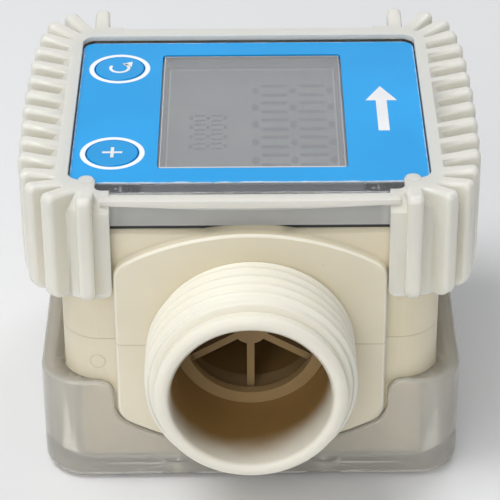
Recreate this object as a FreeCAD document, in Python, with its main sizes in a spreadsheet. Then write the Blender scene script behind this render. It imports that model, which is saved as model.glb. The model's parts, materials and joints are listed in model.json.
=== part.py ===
import FreeCAD, Part
import math
import os

import Sketcher
from FreeCAD import Placement, Rotation, Vector

# Turbine flow meter with a display head, millimetres.
# Modelling frame of every sub-part: X across the meter, Y along the flow, Z up, zero on the
# axis of the pipe.  Each sub-part's Placement then lifts it by axis_height, so that the meter
# stands with the underside of its lower cover on Z = 0.

DIMENSIONS = [
    # alias, value, meaning
    ("axis_height", 27.0, "pipe axis above the resting face"),
    ("half_length", 45.6, "half of the overall length, nose to nose"),
    ("thread_od", 33.25, "outside of the 1 inch parallel pipe thread"),
    ("thread_root", 30.3, "root of that thread, and the reliefs beside it"),
    ("nose_od", 29.9, "plain nose ring in front of the thread"),
    ("nose_end", 43.4, "half length where the nose ring starts"),
    ("nose_edge", 0.7, "chamfer of the nose ring"),
    ("relief_depth", 0.5, "depth of the groove between nose ring and thread"),
    ("thread_lead", 0.6, "length of the chamfers at the thread's ends"),
    ("bore", 25.0, "bore from the mouth to the flow straightener"),
    ("rotor_bore", 24.2, "slightly smaller bore round the rotor"),
    ("shoulder", 21.8, "half length where the bore steps down"),
    ("mouth_chamfer", 0.7, "break of the bore's edge"),
    ("block_width", 60.6, "moulded body across the meter"),
    ("block_depth", 56.8, "moulded body along the flow"),
    ("block_round", 6.4, "plan radius of the body's corner columns"),
    ("block_top", 19.6, "top of the body above the axis"),
    ("block_bottom", -22.5, "underside of the body"),
    ("flange_face", 30.4, "half length of the flange's front face"),
    ("flange_width", 43.0, "distance between the flange's flats"),
    ("flange_arch", 20.4, "top of the flange's arch above the axis"),
    ("flange_curve", 41.0, "radius of the arch"),
    ("flange_round", 3.6, "radius where arch meets flat"),
    ("flange_edge", 0.5, "chamfer round the flange's face"),
    ("flange_depth", 3.4, "thickness of a flange"),
    ("pocket_width", 51.0, "electronics pocket in the top of the body"),
    ("pocket_depth", 46.0, "the same along the flow"),
    ("pocket_floor", 15.4, "floor of the electronics pocket"),
    ("pocket_round", 3.0, "plan radius of its corners"),
    ("bay_offset", 19.0, "battery bay centre from the middle"),
    ("bay_width", 11.6, "width of a battery bay"),
    ("bay_length", 47.4, "length of a battery bay"),
    ("bay_roof", -10.8, "roof of the battery bays"),
    ("bay_round", 2.6, "plan radius of their corners"),
    ("cell_height", -16.4, "axis of the battery cells"),
    ("cell_diameter", 10.4, "AAA cell, over its sleeve"),
    ("cell_length", 42.6, "AAA cell without its nipple"),
    ("cell_edge", 0.5, "rounding of the cell's ends, as a chamfer"),
    ("cell_slack", 0.3, "gap between the nipple and its plate"),
    ("nipple_length", 1.0, "the cell's positive nipple"),
    ("nipple_diameter", 3.8, "the same across"),
    ("contact_thickness", 0.3, "spring steel contact plates"),
    ("contact_side", 6.2, "side of a square contact plate"),
    ("contact_lift", 0.6, "centre of the plates above the cells' axis"),
    ("spring_radius", 2.2, "coil radius of a battery spring"),
    ("spring_wire", 0.3, "radius of its wire"),
    ("spring_turns", 2.5, "turns of a battery spring"),
    ("core_width", 23.4, "relief pockets under the pipe"),
    ("core_depth", 12.6, "each relief pocket along the flow"),
    ("core_roof", -16.2, "roof of the relief pockets"),
    ("core_pitch", 14.4, "spacing of the relief pockets"),
    ("core_round", 1.6, "plan radius of their corners"),
    ("head_screw_x", 26.8, "long housing screws, from the middle"),
    ("head_screw_y", 24.1, "the same along the flow"),
    ("cover_screw_x", 12.0, "lower cover screws, from the middle"),
    ("cover_screw_y", 25.1, "the same along the flow"),
    ("screw_gap", 0.1, "clearance round a screw's shank, on the radius"),
    ("seat_gap", 0.2, "clearance round a screw's head, on the radius"),
    ("long_shank", 1.3, "radius of a housing screw's shank"),
    ("long_head", 2.2, "radius of its head"),
    ("long_head_height", 1.7, "height of its head"),
    ("long_head_seat", -20.3, "where its head bears"),
    ("long_tip", 23.4, "where its tip ends"),
    ("short_shank", 1.4, "radius of a cover screw's shank"),
    ("short_head", 2.7, "radius of its head"),
    ("short_head_height", 1.8, "height of its head"),
    ("short_head_seat", -24.8, "where its head bears"),
    ("short_tip", -14.6, "where its tip ends"),
    ("cover_width", 68.3, "clear lower cover across the meter"),
    ("cover_depth", 59.8, "the same along the flow"),
    ("cover_round", 7.0, "plan radius of its corners"),
    ("cover_rim", -7.7, "its rim, below the axis"),
    ("cover_floor", -23.0, "inside of its floor"),
    ("cover_fillet", 2.0, "radius round its underside"),
    ("cover_lip", 0.5, "radius round its rim"),
    ("cover_gap", 0.3, "gap between cover and body"),
    ("notch_round", 2.4, "radius where its rim turns down into a notch"),
    ("notch_gap", 0.6, "gap between cover and flange"),
    ("seal_width", 1.0, "width of the lower gasket"),
    ("head_seal_width", 3.0, "width of the gasket under the display housing"),
    ("cover_seal_bottom", -23.5, "bottom of the lower gasket's groove"),
    ("head_seal_top", 20.4, "top of the gasket under the display housing"),
    ("head_width", 60.0, "display housing across the meter"),
    ("head_depth", 54.6, "the same along the flow"),
    ("head_round", 5.5, "plan radius of its corners"),
    ("head_top", 25.85, "top of the display housing"),
    ("head_plate", 2.0, "thickness of its top plate"),
    ("head_wall", 2.4, "thickness of its side walls"),
    ("head_boss", 2.1, "radius of its screw bosses"),
    ("head_edge", 0.6, "radius round its top"),
    ("label_width", 56.4, "printed label across the meter"),
    ("label_depth", 47.2, "the same along the flow"),
    ("label_round", 2.0, "plan radius of its corners"),
    ("label_bottom", 25.5, "floor of the label's recess"),
    ("label_top", 26.0, "face of the label"),
    ("window_width", 30.2, "window in the label"),
    ("window_depth", 38.3, "the same along the flow"),
    ("window_shift", 0.5, "window centre from the middle"),
    ("window_round", 0.8, "plan radius of the window's corners"),
    ("button_x", -21.8, "the two buttons, from the middle"),
    ("button_y", 14.3, "the same along the flow"),
    ("button_cap", 4.1, "radius of a button's cap"),
    ("button_gap", 0.15, "gap round the cap"),
    ("button_top", 26.15, "face of the caps"),
    ("button_under", 25.0, "underside of the caps"),
    ("button_stem", 2.0, "radius of a button's stem"),
    ("button_foot", 22.9, "foot of the stem"),
    ("button_well", 24.3, "floor of the caps' wells"),
    ("button_edge", 0.25, "radius round the caps' faces"),
    ("button_guide", 3.4, "radius of the guide tube under the plate"),
    ("guide_end", 23.1, "lower end of the guide tube"),
    ("running_gap", 0.06, "radial clearance of running fits"),
    ("board_bottom", 18.9, "underside of the circuit board"),
    ("board_top", 20.5, "top of the circuit board"),
    ("board_width", 49.6, "circuit board across the meter"),
    ("board_depth", 44.6, "the same along the flow"),
    ("board_round", 2.4, "plan radius of its corners"),
    ("board_hole", 1.1, "radius of its screw holes"),
    ("board_screw_head", 1.8, "radius of a board screw's head"),
    ("board_screw_rise", 1.1, "height of its head"),
    ("board_screw_shank", 0.85, "radius of its shank"),
    ("board_screw_depth", 3.0, "reach of its shank below the board"),
    ("chip_side", 7.0, "side of the controller"),
    ("chip_height", 1.2, "height of the controller"),
    ("post_x", 20.4, "board posts, from the middle"),
    ("post_y", 20.0, "the same along the flow"),
    ("post_radius", 2.2, "radius of a board post"),
    ("post_hole", 0.9, "radius of the hole in a board post"),
    ("lcd_width", 32.6, "display glass across the meter"),
    ("lcd_depth", 40.4, "the same along the flow"),
    ("lcd_top", 22.6, "face of the display glass"),
    ("frame_wall", 1.4, "wall of the frame round the glass"),
    ("frame_top", 23.7, "top of that frame"),
    ("frame_view", 29.4, "opening of the frame across the meter"),
    ("frame_view_depth", 37.5, "the same along the flow"),
    ("switch_side", 5.0, "side of a tact switch"),
    ("switch_height", 1.3, "height of its case"),
    ("switch_nub", 0.5, "height of its nub"),
    ("nub_radius", 1.2, "radius of its nub"),
    ("sensor_radius", 2.2, "Hall pick-up over the rotor"),
    ("sensor_foot", 14.3, "its lower end"),
    ("spider_front", 28.9, "half length of the straightener's front edge"),
    ("vane_front", 26.0, "half length of its vanes' front edge"),
    ("spider_wall", 0.75, "thickness of its ring"),
    ("vane_thickness", 1.2, "thickness of a vane"),
    ("vane_count", 6, "vanes in a straightener"),
    ("vane_hub", 2.8, "radius of its hub"),
    ("hub_back", 17.0, "half length of the hub's inner end"),
    ("bush_radius", 1.9, "outside radius of a bush"),
    ("bush_front", 23.5, "half length of a bush's outer end"),
    ("shaft_radius", 1.0, "rotor shaft"),
    ("shaft_half", 21.5, "half length of the shaft"),
    ("rotor_hub", 4.2, "radius of the rotor's hub"),
    ("rotor_half", 7.5, "half length of the rotor's hub"),
    ("rotor_nose", 1.6, "chamfer of the hub's ends"),
    ("blade_tip", 11.7, "radius over the blades"),
    ("blade_half", 6.0, "half length of a blade"),
    ("blade_thickness", 1.5, "thickness of a blade"),
    ("blade_twist", 64.0, "turn of a blade from end to end, degrees"),
    ("blade_phase", 4.0, "turn of the first blade's middle from +X, degrees"),
    ("blade_root", 3.0, "radius where a blade starts inside the hub"),
    ("blade_thinning", 0.25, "loss of half thickness from root to tip"),
    ("blade_crown", 0.12, "bow of a blade's tip"),
    ("blade_count", 6, "blades on the rotor"),
    ("magnet_radius", 1.0, "rotor magnets"),
    ("magnet_reach", 4.0, "outer face of the magnets"),
    ("magnet_length", 1.9, "length of a magnet"),
    ("magnet_seat", 2.2, "depth of its seat in the hub"),
    ("boot_foot", 9.0, "lower edge of the protective boot"),
    ("boot_width", 66.0, "boot's wall across the meter"),
    ("boot_depth", 60.8, "the same along the flow"),
    ("boot_round", 8.4, "plan radius of its corners"),
    ("boot_shoulder", 24.3, "where its wall starts to lean in"),
    ("boot_step", 20.9, "where its inside narrows to the display housing"),
    ("boot_rim", 27.0, "top of its rim"),
    ("boot_lean", 45.0, "lean of its shoulder, degrees"),
    ("boot_inner_width", 61.2, "inside of the boot across the meter"),
    ("boot_inner_depth", 57.4, "the same along the flow"),
    ("boot_ceiling", 26.1, "underside of its rim"),
    ("boot_window", 43.4, "width of its front and rear windows"),
    ("boot_view_width", 56.8, "opening round the label"),
    ("boot_view_rear", 24.4, "rear edge of that opening"),
    ("boot_view_front", -24.2, "front edge of that opening at the corners"),
    ("strap_rear_out", 26.9, "outer face of the rear strap"),
    ("strap_front_in", -27.6, "inner face of the front strap"),
    ("strap_front_out", -29.8, "outer face of the front strap"),
    ("strap_front_foot", 25.5, "underside of the front strap at its ends"),
    ("strap_front_top", 26.3, "top of the front strap at its ends"),
    ("strap_sag", 0.6, "how far the strap's underside hangs at its middle"),
    ("strap_dip", 0.1, "how far its top dips there"),
    ("strap_anchor", 1.5, "length of the strap inside each front post"),
    ("lip_gap_width", 48.0, "opening between the label and the front strap"),
    ("lip_gap_round", 1.2, "plan radius of its corners"),
    ("leg_round", 1.3, "radius of the front and rear legs' lower corners"),
    ("bump_radius", 1.2, "radius of the bumps over the label's front corners"),
    ("bump_y", -24.3, "centre of the bumps along the flow"),
    ("fin_thickness", 2.5, "thickness of a grip fin"),
    ("fin_pitch", 5.15, "spacing of the fins along the sides"),
    ("fin_reach", 36.9, "tips of the middle side fins"),
    ("fin_sag", 0.0014, "how fast the tips draw in, per square millimetre"),
    ("fin_top", 28.4, "top of the fins at their tips"),
    ("fin_length", 7.5, "length of a fin before the boot's inside is cut out"),
    ("fin_heel", 2.6, "radius of the fins' lower outer corner"),
    ("fin_crown", 1.1, "radius of their upper outer corner"),
    ("fin_edge", 0.8, "radius along their outer edges"),
    ("post_fin_x", 25.4, "the front and rear fins, from the middle"),
    ("post_fin_reach", 32.8, "tips of the front and rear fins"),
]

doc = FreeCAD.newDocument("turbine_flow_meter")
sheet = doc.addObject("Spreadsheet::Sheet", "dims")
for row, (alias, number, meaning) in enumerate(DIMENSIONS, 1):
    sheet.set(f"A{row}", meaning)
    sheet.set(f"B{row}", str(number))
    sheet.setAlias(f"B{row}", alias)
doc.recompute()

SIDES = (1, -1)
CORNERS = [(1, 1), (-1, 1), (-1, -1), (1, -1)]
SIDE_FINS = 8
# corner fins of the boot: tip across, tip along the flow, and lean from X in degrees
CORNER_FINS = [(35.75, 23.2, 12), (34.5, 27.9, 32), (31.4, 31.3, 52)]
finished = []


def size(alias):
    """Value of one cell of the sheet."""
    return float(sheet.get(alias))


def amount(expression):
    """Value of an expression in the sheet's cells, written as in setExpression."""
    return float(sheet.evalExpression(expression.replace("dims.", "")))


def finish(feature, name, rise="0"):
    """Name a finished sub-part and lift it to its place over the resting face."""
    feature.Label = name
    feature.setExpression("Placement.Base.z", f"dims.axis_height + ({rise})")
    finished.append(feature)


# ---------------------------------------------------------------- sketches

def new_body(name):
    return doc.addObject("PartDesign::Body", name + "_body")


def new_sketch(body, name, role="XY_Plane", offset="0"):
    """Sketch on one of the body's own origin planes, moved along its normal by offset.

    The normal of XZ_Plane points to -Y, and that of YZ_Plane to +X."""
    sketch = body.newObject("Sketcher::SketchObject", name)
    plane = next(item for item in body.Origin.OriginFeatures if item.Role == role)
    sketch.AttachmentSupport = (plane, [""])
    sketch.MapMode = "FlatFace"
    if offset != "0":
        sketch.setExpression("AttachmentOffset.Base.z", offset)
    return sketch


def pin_down(sketch, kind, elements, expression):
    """Add one dimension whose value is an expression."""
    value = amount(expression)
    index = sketch.addConstraint(Sketcher.Constraint(kind, *elements, value))
    sketch.setExpression(f"Constraints[{index}]", expression)


def draw_circle(sketch, radius, x="0", y="0"):
    centre = Vector(amount(x), amount(y), 0)
    circle = sketch.addGeometry(Part.Circle(centre, Vector(0, 0, 1), amount(radius)))
    pin_down(sketch, "Radius", (circle,), radius)
    if x == "0" and y == "0":
        sketch.addConstraint(Sketcher.Constraint("Coincident", circle, 3, -1, 1))
    else:
        pin_down(sketch, "DistanceX", (-1, 1, circle, 3), x)
        pin_down(sketch, "DistanceY", (-1, 1, circle, 3), y)


def draw_rounded(sketch, width, depth, radius, x="0", y="0"):
    """Rounded rectangle, centred on x, y."""
    width, depth = f"({width})", f"({depth})"
    round_, mid_x, mid_y = amount(radius), amount(x), amount(y)
    reach_x = amount(width) / 2 - round_
    reach_y = amount(depth) / 2 - round_
    arcs = []
    for turn, (side_x, side_y) in enumerate(CORNERS):
        centre = Vector(mid_x + side_x * reach_x, mid_y + side_y * reach_y, 0)
        circle = Part.Circle(centre, Vector(0, 0, 1), round_)
        start = turn * math.pi / 2
        arcs.append(sketch.addGeometry(Part.ArcOfCircle(circle, start, start + math.pi / 2)))
    lines = []
    for turn in range(4):
        start = sketch.Geometry[arcs[turn]].EndPoint
        end = sketch.Geometry[arcs[(turn + 1) % 4]].StartPoint
        lines.append(sketch.addGeometry(Part.LineSegment(start, end)))
    for turn in range(4):
        following = arcs[(turn + 1) % 4]
        sketch.addConstraint(Sketcher.Constraint("Tangent", arcs[turn], 2, lines[turn], 1))
        sketch.addConstraint(Sketcher.Constraint("Tangent", lines[turn], 2, following, 1))
        sketch.addConstraint(Sketcher.Constraint(("Horizontal", "Vertical")[turn % 2], lines[turn]))
        if turn:
            sketch.addConstraint(Sketcher.Constraint("Equal", arcs[0], arcs[turn]))
    pin_down(sketch, "Radius", (arcs[0],), radius)
    pin_down(sketch, "DistanceX", (lines[1], 1, lines[3], 1), width)
    pin_down(sketch, "DistanceY", (lines[2], 1, lines[0], 1), depth)
    pin_down(sketch, "DistanceX", (-1, 1, lines[3], 1), f"{x} + {width} / 2")
    pin_down(sketch, "DistanceY", (-1, 1, lines[0], 1), f"{y} + {depth} / 2")


def draw_outline(sketch, corners):
    """Closed polygon through corners, each a pair of expressions."""
    points = [Vector(amount(x), amount(y), 0) for x, y in corners]
    count = len(points)
    edges = [sketch.addGeometry(Part.LineSegment(points[i], points[(i + 1) % count]))
             for i in range(count)]
    for i, edge in enumerate(edges):
        sketch.addConstraint(Sketcher.Constraint("Coincident", edge, 2, edges[(i + 1) % count], 1))
        pin_down(sketch, "DistanceX", (-1, 1, edge, 1), corners[i][0])
        pin_down(sketch, "DistanceY", (-1, 1, edge, 1), corners[i][1])


def draw_flange(sketch, gap):
    """Flange outline: two flats, an arch above and below, rounded where they meet.

    gap widens the outline all round, for the notch in the lower cover."""
    flat = size("flange_width") / 2 + gap
    arch = size("flange_arch") + gap
    curve = size("flange_curve") + gap
    blend = size("flange_round") + gap
    sunk = curve - arch                       # the arch's centre lies beyond the axis
    blend_x = flat - blend
    blend_z = math.sqrt((curve - blend) ** 2 - blend_x ** 2) - sunk
    lean = math.atan2(blend_z + sunk, blend_x)
    half = math.pi / 2
    axis = Vector(0, 0, 1)
    pieces = []
    for side in SIDES:
        back = 0 if side == 1 else math.pi
        big = Part.Circle(Vector(0, -side * sunk, 0), axis, curve)
        pieces.append(Part.ArcOfCircle(big, back + lean, back + 2 * half - lean))
        left = Part.Circle(Vector(-side * blend_x, side * blend_z, 0), axis, blend)
        pieces.append(Part.ArcOfCircle(left, back + 2 * half - lean, back + 2 * half))
        pieces.append(Part.LineSegment(Vector(-side * flat, side * blend_z, 0),
                                       Vector(-side * flat, -side * blend_z, 0)))
        right = Part.Circle(Vector(-side * blend_x, -side * blend_z, 0), axis, blend)
        pieces.append(Part.ArcOfCircle(right, back + 2 * half, back + 2 * half + lean))
    edges = [sketch.addGeometry(piece) for piece in pieces]
    for i, edge in enumerate(edges):
        following = edges[(i + 1) % len(edges)]
        sketch.addConstraint(Sketcher.Constraint("Coincident", edge, 2, following, 1))
    return edges


# ---------------------------------------------------------------- features

def pad(body, name, sketch, length, reverse=False):
    feature = body.newObject("PartDesign::Pad", name)
    feature.Profile = sketch
    feature.setExpression("Length", length)
    feature.Reversed = reverse
    doc.recompute()
    return feature


def pocket(body, name, sketch, length, reverse=False):
    """Cut a pocket and make sure that it took something away."""
    before = body.Shape.Volume
    feature = body.newObject("PartDesign::Pocket", name)
    feature.Profile = sketch
    feature.setExpression("Length", length)
    feature.Reversed = reverse
    doc.recompute()
    if feature.Shape.Volume > before - 1e-3:
        raise RuntimeError(f"{name} cuts nothing")
    return feature


def turn(body, name, sketch, kind="PartDesign::Revolution", axis="H_Axis"):
    """Revolve a sketch of the YZ plane, or cut with it, about the pipe's axis."""
    before = body.Shape.Volume if kind.endswith("Groove") else None
    feature = body.newObject(kind, name)
    feature.Profile = sketch
    feature.ReferenceAxis = (sketch, [axis])
    feature.Angle = 360
    doc.recompute()
    if before is not None and feature.Shape.Volume > before - 1e-3:
        raise RuntimeError(f"{name} cuts nothing")
    return feature


def dress(body, name, kind, base, edges, amount_of):
    """Fillet or chamfer on the edges of base that edges(edge) picks."""
    picked = [f"Edge{i}" for i, edge in enumerate(base.Shape.Edges, 1) if edges(edge)]
    if not picked:
        raise RuntimeError(f"{name} finds no edge")
    feature = body.newObject("PartDesign::" + kind, name)
    feature.Base = (base, picked)
    feature.setExpression("Radius" if kind == "Fillet" else "Size", amount_of)
    doc.recompute()
    return feature


def round_array(body, name, feature, count):
    """Repeat a feature round the pipe's axis."""
    pattern = body.newObject("PartDesign::PolarPattern", name)
    pattern.Originals = [feature]
    axis = next(item for item in body.Origin.OriginFeatures if item.Role == "Y_Axis")
    pattern.Axis = (axis, [""])
    pattern.Angle = 360
    pattern.setExpression("Occurrences", count)
    body.Tip = pattern
    doc.recompute()
    return pattern


def lies_at(z):
    """Test for edges that lie in the plane at height z."""
    return lambda edge: abs(edge.BoundBox.ZMin - z) < 1e-4 and abs(edge.BoundBox.ZMax - z) < 1e-4


def outside(test, half_x, half_y):
    """Keep only those edges whose middle is beyond half_x or half_y."""
    def picks(edge):
        middle = edge.BoundBox.Center
        return test(edge) and (abs(middle.x) > half_x or abs(middle.y) > half_y)
    return picks


def cylinder(name, radius, bottom, top, x="0", y="0"):
    """Upright cylinder between two heights."""
    solid = doc.addObject("Part::Cylinder", name)
    solid.setExpression("Radius", radius)
    solid.setExpression("Height", f"{top} - ({bottom})")
    solid.setExpression("Placement.Base.x", x)
    solid.setExpression("Placement.Base.y", y)
    solid.setExpression("Placement.Base.z", bottom)
    return solid


def box(name, width, depth, bottom, top, x="0", y="0"):
    """Box centred on x, y between two heights."""
    solid = doc.addObject("Part::Box", name)
    solid.setExpression("Length", width)
    solid.setExpression("Width", depth)
    solid.setExpression("Height", f"{top} - ({bottom})")
    solid.setExpression("Placement.Base.x", f"{x} - {width} / 2")
    solid.setExpression("Placement.Base.y", f"{y} - {depth} / 2")
    solid.setExpression("Placement.Base.z", bottom)
    return solid


def fuse(name, *solids):
    joined = doc.addObject("Part::MultiFuse", name)
    joined.Shapes = list(solids)
    joined.Refine = True
    doc.recompute()
    return joined


def cut(name, base, tool):
    carved = doc.addObject("Part::Cut", name)
    carved.Base = base
    carved.Tool = tool
    carved.Refine = True
    doc.recompute()
    return carved


def group(name, solids):
    """Separate, alike solids in one sub-part."""
    bundle = doc.addObject("Part::Compound", name)
    bundle.Links = list(solids)
    doc.recompute()
    return bundle


# ---------------------------------------------------------------- sub-parts

def make_meter_body():
    """Moulded body: corner columns, flanges, threaded spigots, bore, pocket and bays."""
    body = new_body("meter_body")
    plan = new_sketch(body, "block_plan", offset="dims.block_bottom")
    draw_rounded(plan, "dims.block_width", "dims.block_depth", "dims.block_round")
    pad(body, "block", plan, "dims.block_top - dims.block_bottom")

    for side, end in zip(SIDES, ("inlet", "outlet")):
        # the sketch plane's normal points to -Y, so the inlet's flange grows along it
        root = "(dims.flange_face - dims.flange_depth)"
        start = root if side == 1 else "-" + root
        face = new_sketch(body, end + "_flange_outline", "XZ_Plane", start)
        draw_flange(face, 0.0)
        flange = pad(body, end + "_flange", face, "dims.flange_depth", reverse=side == -1)
        rim_y = -side * size("flange_face")

        def front_edge(edge, plane=rim_y):
            bounds = edge.BoundBox
            return abs(bounds.YMin - plane) < 1e-4 and abs(bounds.YMax - plane) < 1e-4
        dress(body, end + "_flange_edge", "Chamfer", flange, front_edge, "dims.flange_edge")

    spigot = new_sketch(body, "spigot_profile", "YZ_Plane")
    half, nose, root = "dims.half_length", "dims.nose_od / 2", "dims.thread_root / 2"
    crest, face = "dims.thread_od / 2", "dims.flange_face"
    relief = nose + " - dims.relief_depth"
    relief_start = "dims.nose_end - dims.relief_depth"
    outline = [(half, "0"), (half, nose + " - dims.nose_edge"), (half + " - dims.nose_edge", nose),
               ("dims.nose_end", nose), ("dims.nose_end", relief), (relief_start, relief),
               (relief_start + " - dims.thread_lead", crest),
               (face + " + dims.thread_lead + 0.3", crest), (face + " + 0.3", root),
               (face + " - dims.flange_edge", root)]
    mirrored = [(f"-({y})", z) for y, z in reversed(outline)]
    draw_outline(spigot, outline + mirrored)
    turn(body, "spigots", spigot)

    hollow = new_sketch(body, "bore_profile", "YZ_Plane")
    mouth = "dims.bore / 2 + dims.mouth_chamfer"
    outline = [(half + " + 1", "0"), (half + " + 1", mouth), (half, mouth),
               (half + " - dims.mouth_chamfer", "dims.bore / 2"),
               ("dims.shoulder", "dims.bore / 2"), ("dims.shoulder", "dims.rotor_bore / 2")]
    mirrored = [(f"-({y})", z) for y, z in reversed(outline)]
    draw_outline(hollow, outline + mirrored)
    turn(body, "bore", hollow, "PartDesign::Groove")

    plan = new_sketch(body, "pocket_plan", offset="dims.block_top")
    draw_rounded(plan, "dims.pocket_width", "dims.pocket_depth", "dims.pocket_round")
    pocket(body, "electronics_pocket", plan, "dims.block_top - dims.pocket_floor")
    posts = new_sketch(body, "post_plan", offset="dims.pocket_floor - 0.5")
    for side_x, side_y in CORNERS:
        draw_circle(posts, "dims.post_radius", f"{side_x} * dims.post_x", f"{side_y} * dims.post_y")
    pad(body, "board_posts", posts, "dims.board_bottom - dims.pocket_floor + 0.5")
    holes = new_sketch(body, "post_hole_plan", offset="dims.board_bottom")
    for side_x, side_y in CORNERS:
        draw_circle(holes, "dims.post_hole", f"{side_x} * dims.post_x", f"{side_y} * dims.post_y")
    pocket(body, "post_holes", holes, "dims.board_screw_depth + 0.2")
    well = new_sketch(body, "sensor_plan", offset="dims.pocket_floor")
    draw_circle(well, "dims.sensor_radius + 0.1")
    pocket(body, "sensor_well", well, "dims.pocket_floor - dims.sensor_foot + 0.1")

    bays = new_sketch(body, "bay_plan", offset="dims.block_bottom")
    for side in SIDES:
        draw_rounded(bays, "dims.bay_width", "dims.bay_length", "dims.bay_round",
                     f"{side} * dims.bay_offset")
    pocket(body, "battery_bays", bays, "dims.bay_roof - dims.block_bottom", reverse=True)
    cores = new_sketch(body, "core_plan", offset="dims.block_bottom")
    for step in (-1, 0, 1):
        draw_rounded(cores, "dims.core_width", "dims.core_depth", "dims.core_round", "0",
                     f"{step} * dims.core_pitch")
    pocket(body, "cores", cores, "dims.core_roof - dims.block_bottom", reverse=True)

    screws = new_sketch(body, "head_screw_plan", offset="dims.block_bottom")
    seats = new_sketch(body, "head_seat_plan", offset="dims.block_bottom")
    pilots = new_sketch(body, "cover_pilot_plan", offset="dims.block_bottom")
    for side_x, side_y in CORNERS:
        x, y = f"{side_x} * dims.head_screw_x", f"{side_y} * dims.head_screw_y"
        draw_circle(screws, "dims.long_shank + dims.screw_gap", x, y)
        draw_circle(seats, "dims.long_head + dims.seat_gap", x, y)
        x, y = f"{side_x} * dims.cover_screw_x", f"{side_y} * dims.cover_screw_y"
        draw_circle(pilots, "dims.short_shank + dims.screw_gap", x, y)
    pocket(body, "head_screw_holes", screws, "dims.block_top - dims.block_bottom", reverse=True)
    pocket(body, "head_screw_seats", seats, "dims.long_head_seat - dims.block_bottom", reverse=True)
    pocket(body, "cover_pilots", pilots, "dims.short_tip - dims.block_bottom + 0.4", reverse=True)
    finish(body, "meter_body")


def make_lower_cover():
    """Clear tray that closes the battery bays, notched round both flanges."""
    body = new_body("lower_cover")
    plan = new_sketch(body, "cover_plan", offset="-dims.axis_height")
    draw_rounded(plan, "dims.cover_width", "dims.cover_depth", "dims.cover_round")
    block = pad(body, "cover_block", plan, "dims.cover_rim + dims.axis_height")
    dress(body, "cover_underside", "Fillet", block, lies_at(-size("axis_height")),
          "dims.cover_fillet")
    inside = new_sketch(body, "cover_inside_plan", offset="dims.cover_rim")
    draw_rounded(inside, "dims.block_width + 2 * dims.cover_gap",
                 "dims.block_depth + 2 * dims.cover_gap", "dims.block_round + dims.cover_gap")
    pocket(body, "cover_inside", inside, "dims.cover_rim - dims.cover_floor")
    for side, end in zip(SIDES, ("inlet", "outlet")):
        start = "dims.block_depth / 2 - 1" if side == 1 else "-(dims.block_depth / 2 - 1)"
        notch = new_sketch(body, end + "_notch_outline", "XZ_Plane", start)
        draw_flange(notch, size("notch_gap"))
        notched = pocket(body, end + "_notch", notch, "dims.cover_depth / 2 - dims.block_depth / 2 + 2",
                         reverse=side == 1)
    rim_z, notch_x = size("cover_rim"), size("flange_width") / 2 + size("notch_gap")

    def notch_corner(edge):
        middle = edge.BoundBox.Center
        across = edge.BoundBox.YLength > 1 and edge.BoundBox.XLength < 1e-4
        return across and abs(middle.z - rim_z) < 1e-4 and abs(abs(middle.x) - notch_x) < 1e-4
    cornered = dress(body, "notch_corners", "Fillet", notched, notch_corner, "dims.notch_round")
    dress(body, "cover_lip_edge", "Fillet", cornered,
          outside(lies_at(rim_z), size("block_width") / 2 + 2, size("block_depth") / 2 + 1),
          "dims.cover_lip")
    groove = new_sketch(body, "cover_groove_plan", offset="dims.cover_floor")
    for inset in ("0.1", "(0.3 + dims.seal_width)"):
        draw_rounded(groove, f"dims.block_width - 2 * {inset}", f"dims.block_depth - 2 * {inset}",
                     f"dims.block_round - {inset}")
    pocket(body, "cover_groove", groove, "dims.cover_floor - dims.cover_seal_bottom")
    holes = new_sketch(body, "cover_hole_plan", offset="-dims.axis_height")
    seats = new_sketch(body, "cover_seat_plan", offset="-dims.axis_height")
    for side_x, side_y in CORNERS:
        x, y = f"{side_x} * dims.cover_screw_x", f"{side_y} * dims.cover_screw_y"
        draw_circle(holes, "dims.short_shank + 2 * dims.screw_gap", x, y)
        draw_circle(seats, "dims.short_head + dims.seat_gap", x, y)
    pocket(body, "cover_holes", holes, "dims.cover_floor + dims.axis_height", reverse=True)
    pocket(body, "cover_seats", seats, "dims.short_head_seat + dims.axis_height", reverse=True)
    finish(body, "lower_cover")


def make_gasket(name, plan_width, plan_depth, plan_round, wall, bottom, top, hole=None):
    """Flat ring seal that follows a rounded rectangle, with screw holes where it needs them."""
    body = new_body(name)
    ring = new_sketch(body, name + "_plan", offset=bottom)
    draw_rounded(ring, plan_width, plan_depth, plan_round)
    draw_rounded(ring, f"{plan_width} - 2 * {wall}", f"{plan_depth} - 2 * {wall}",
                 f"{plan_round} - {wall}")
    pad(body, name + "_ring", ring, f"{top} - ({bottom})")
    if hole:
        holes = new_sketch(body, name + "_holes", offset=top)
        for side_x, side_y in CORNERS:
            draw_circle(holes, hole, f"{side_x} * dims.head_screw_x", f"{side_y} * dims.head_screw_y")
        pocket(body, name + "_screw_holes", holes, f"{top} - ({bottom})")
    finish(body, name)


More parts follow.
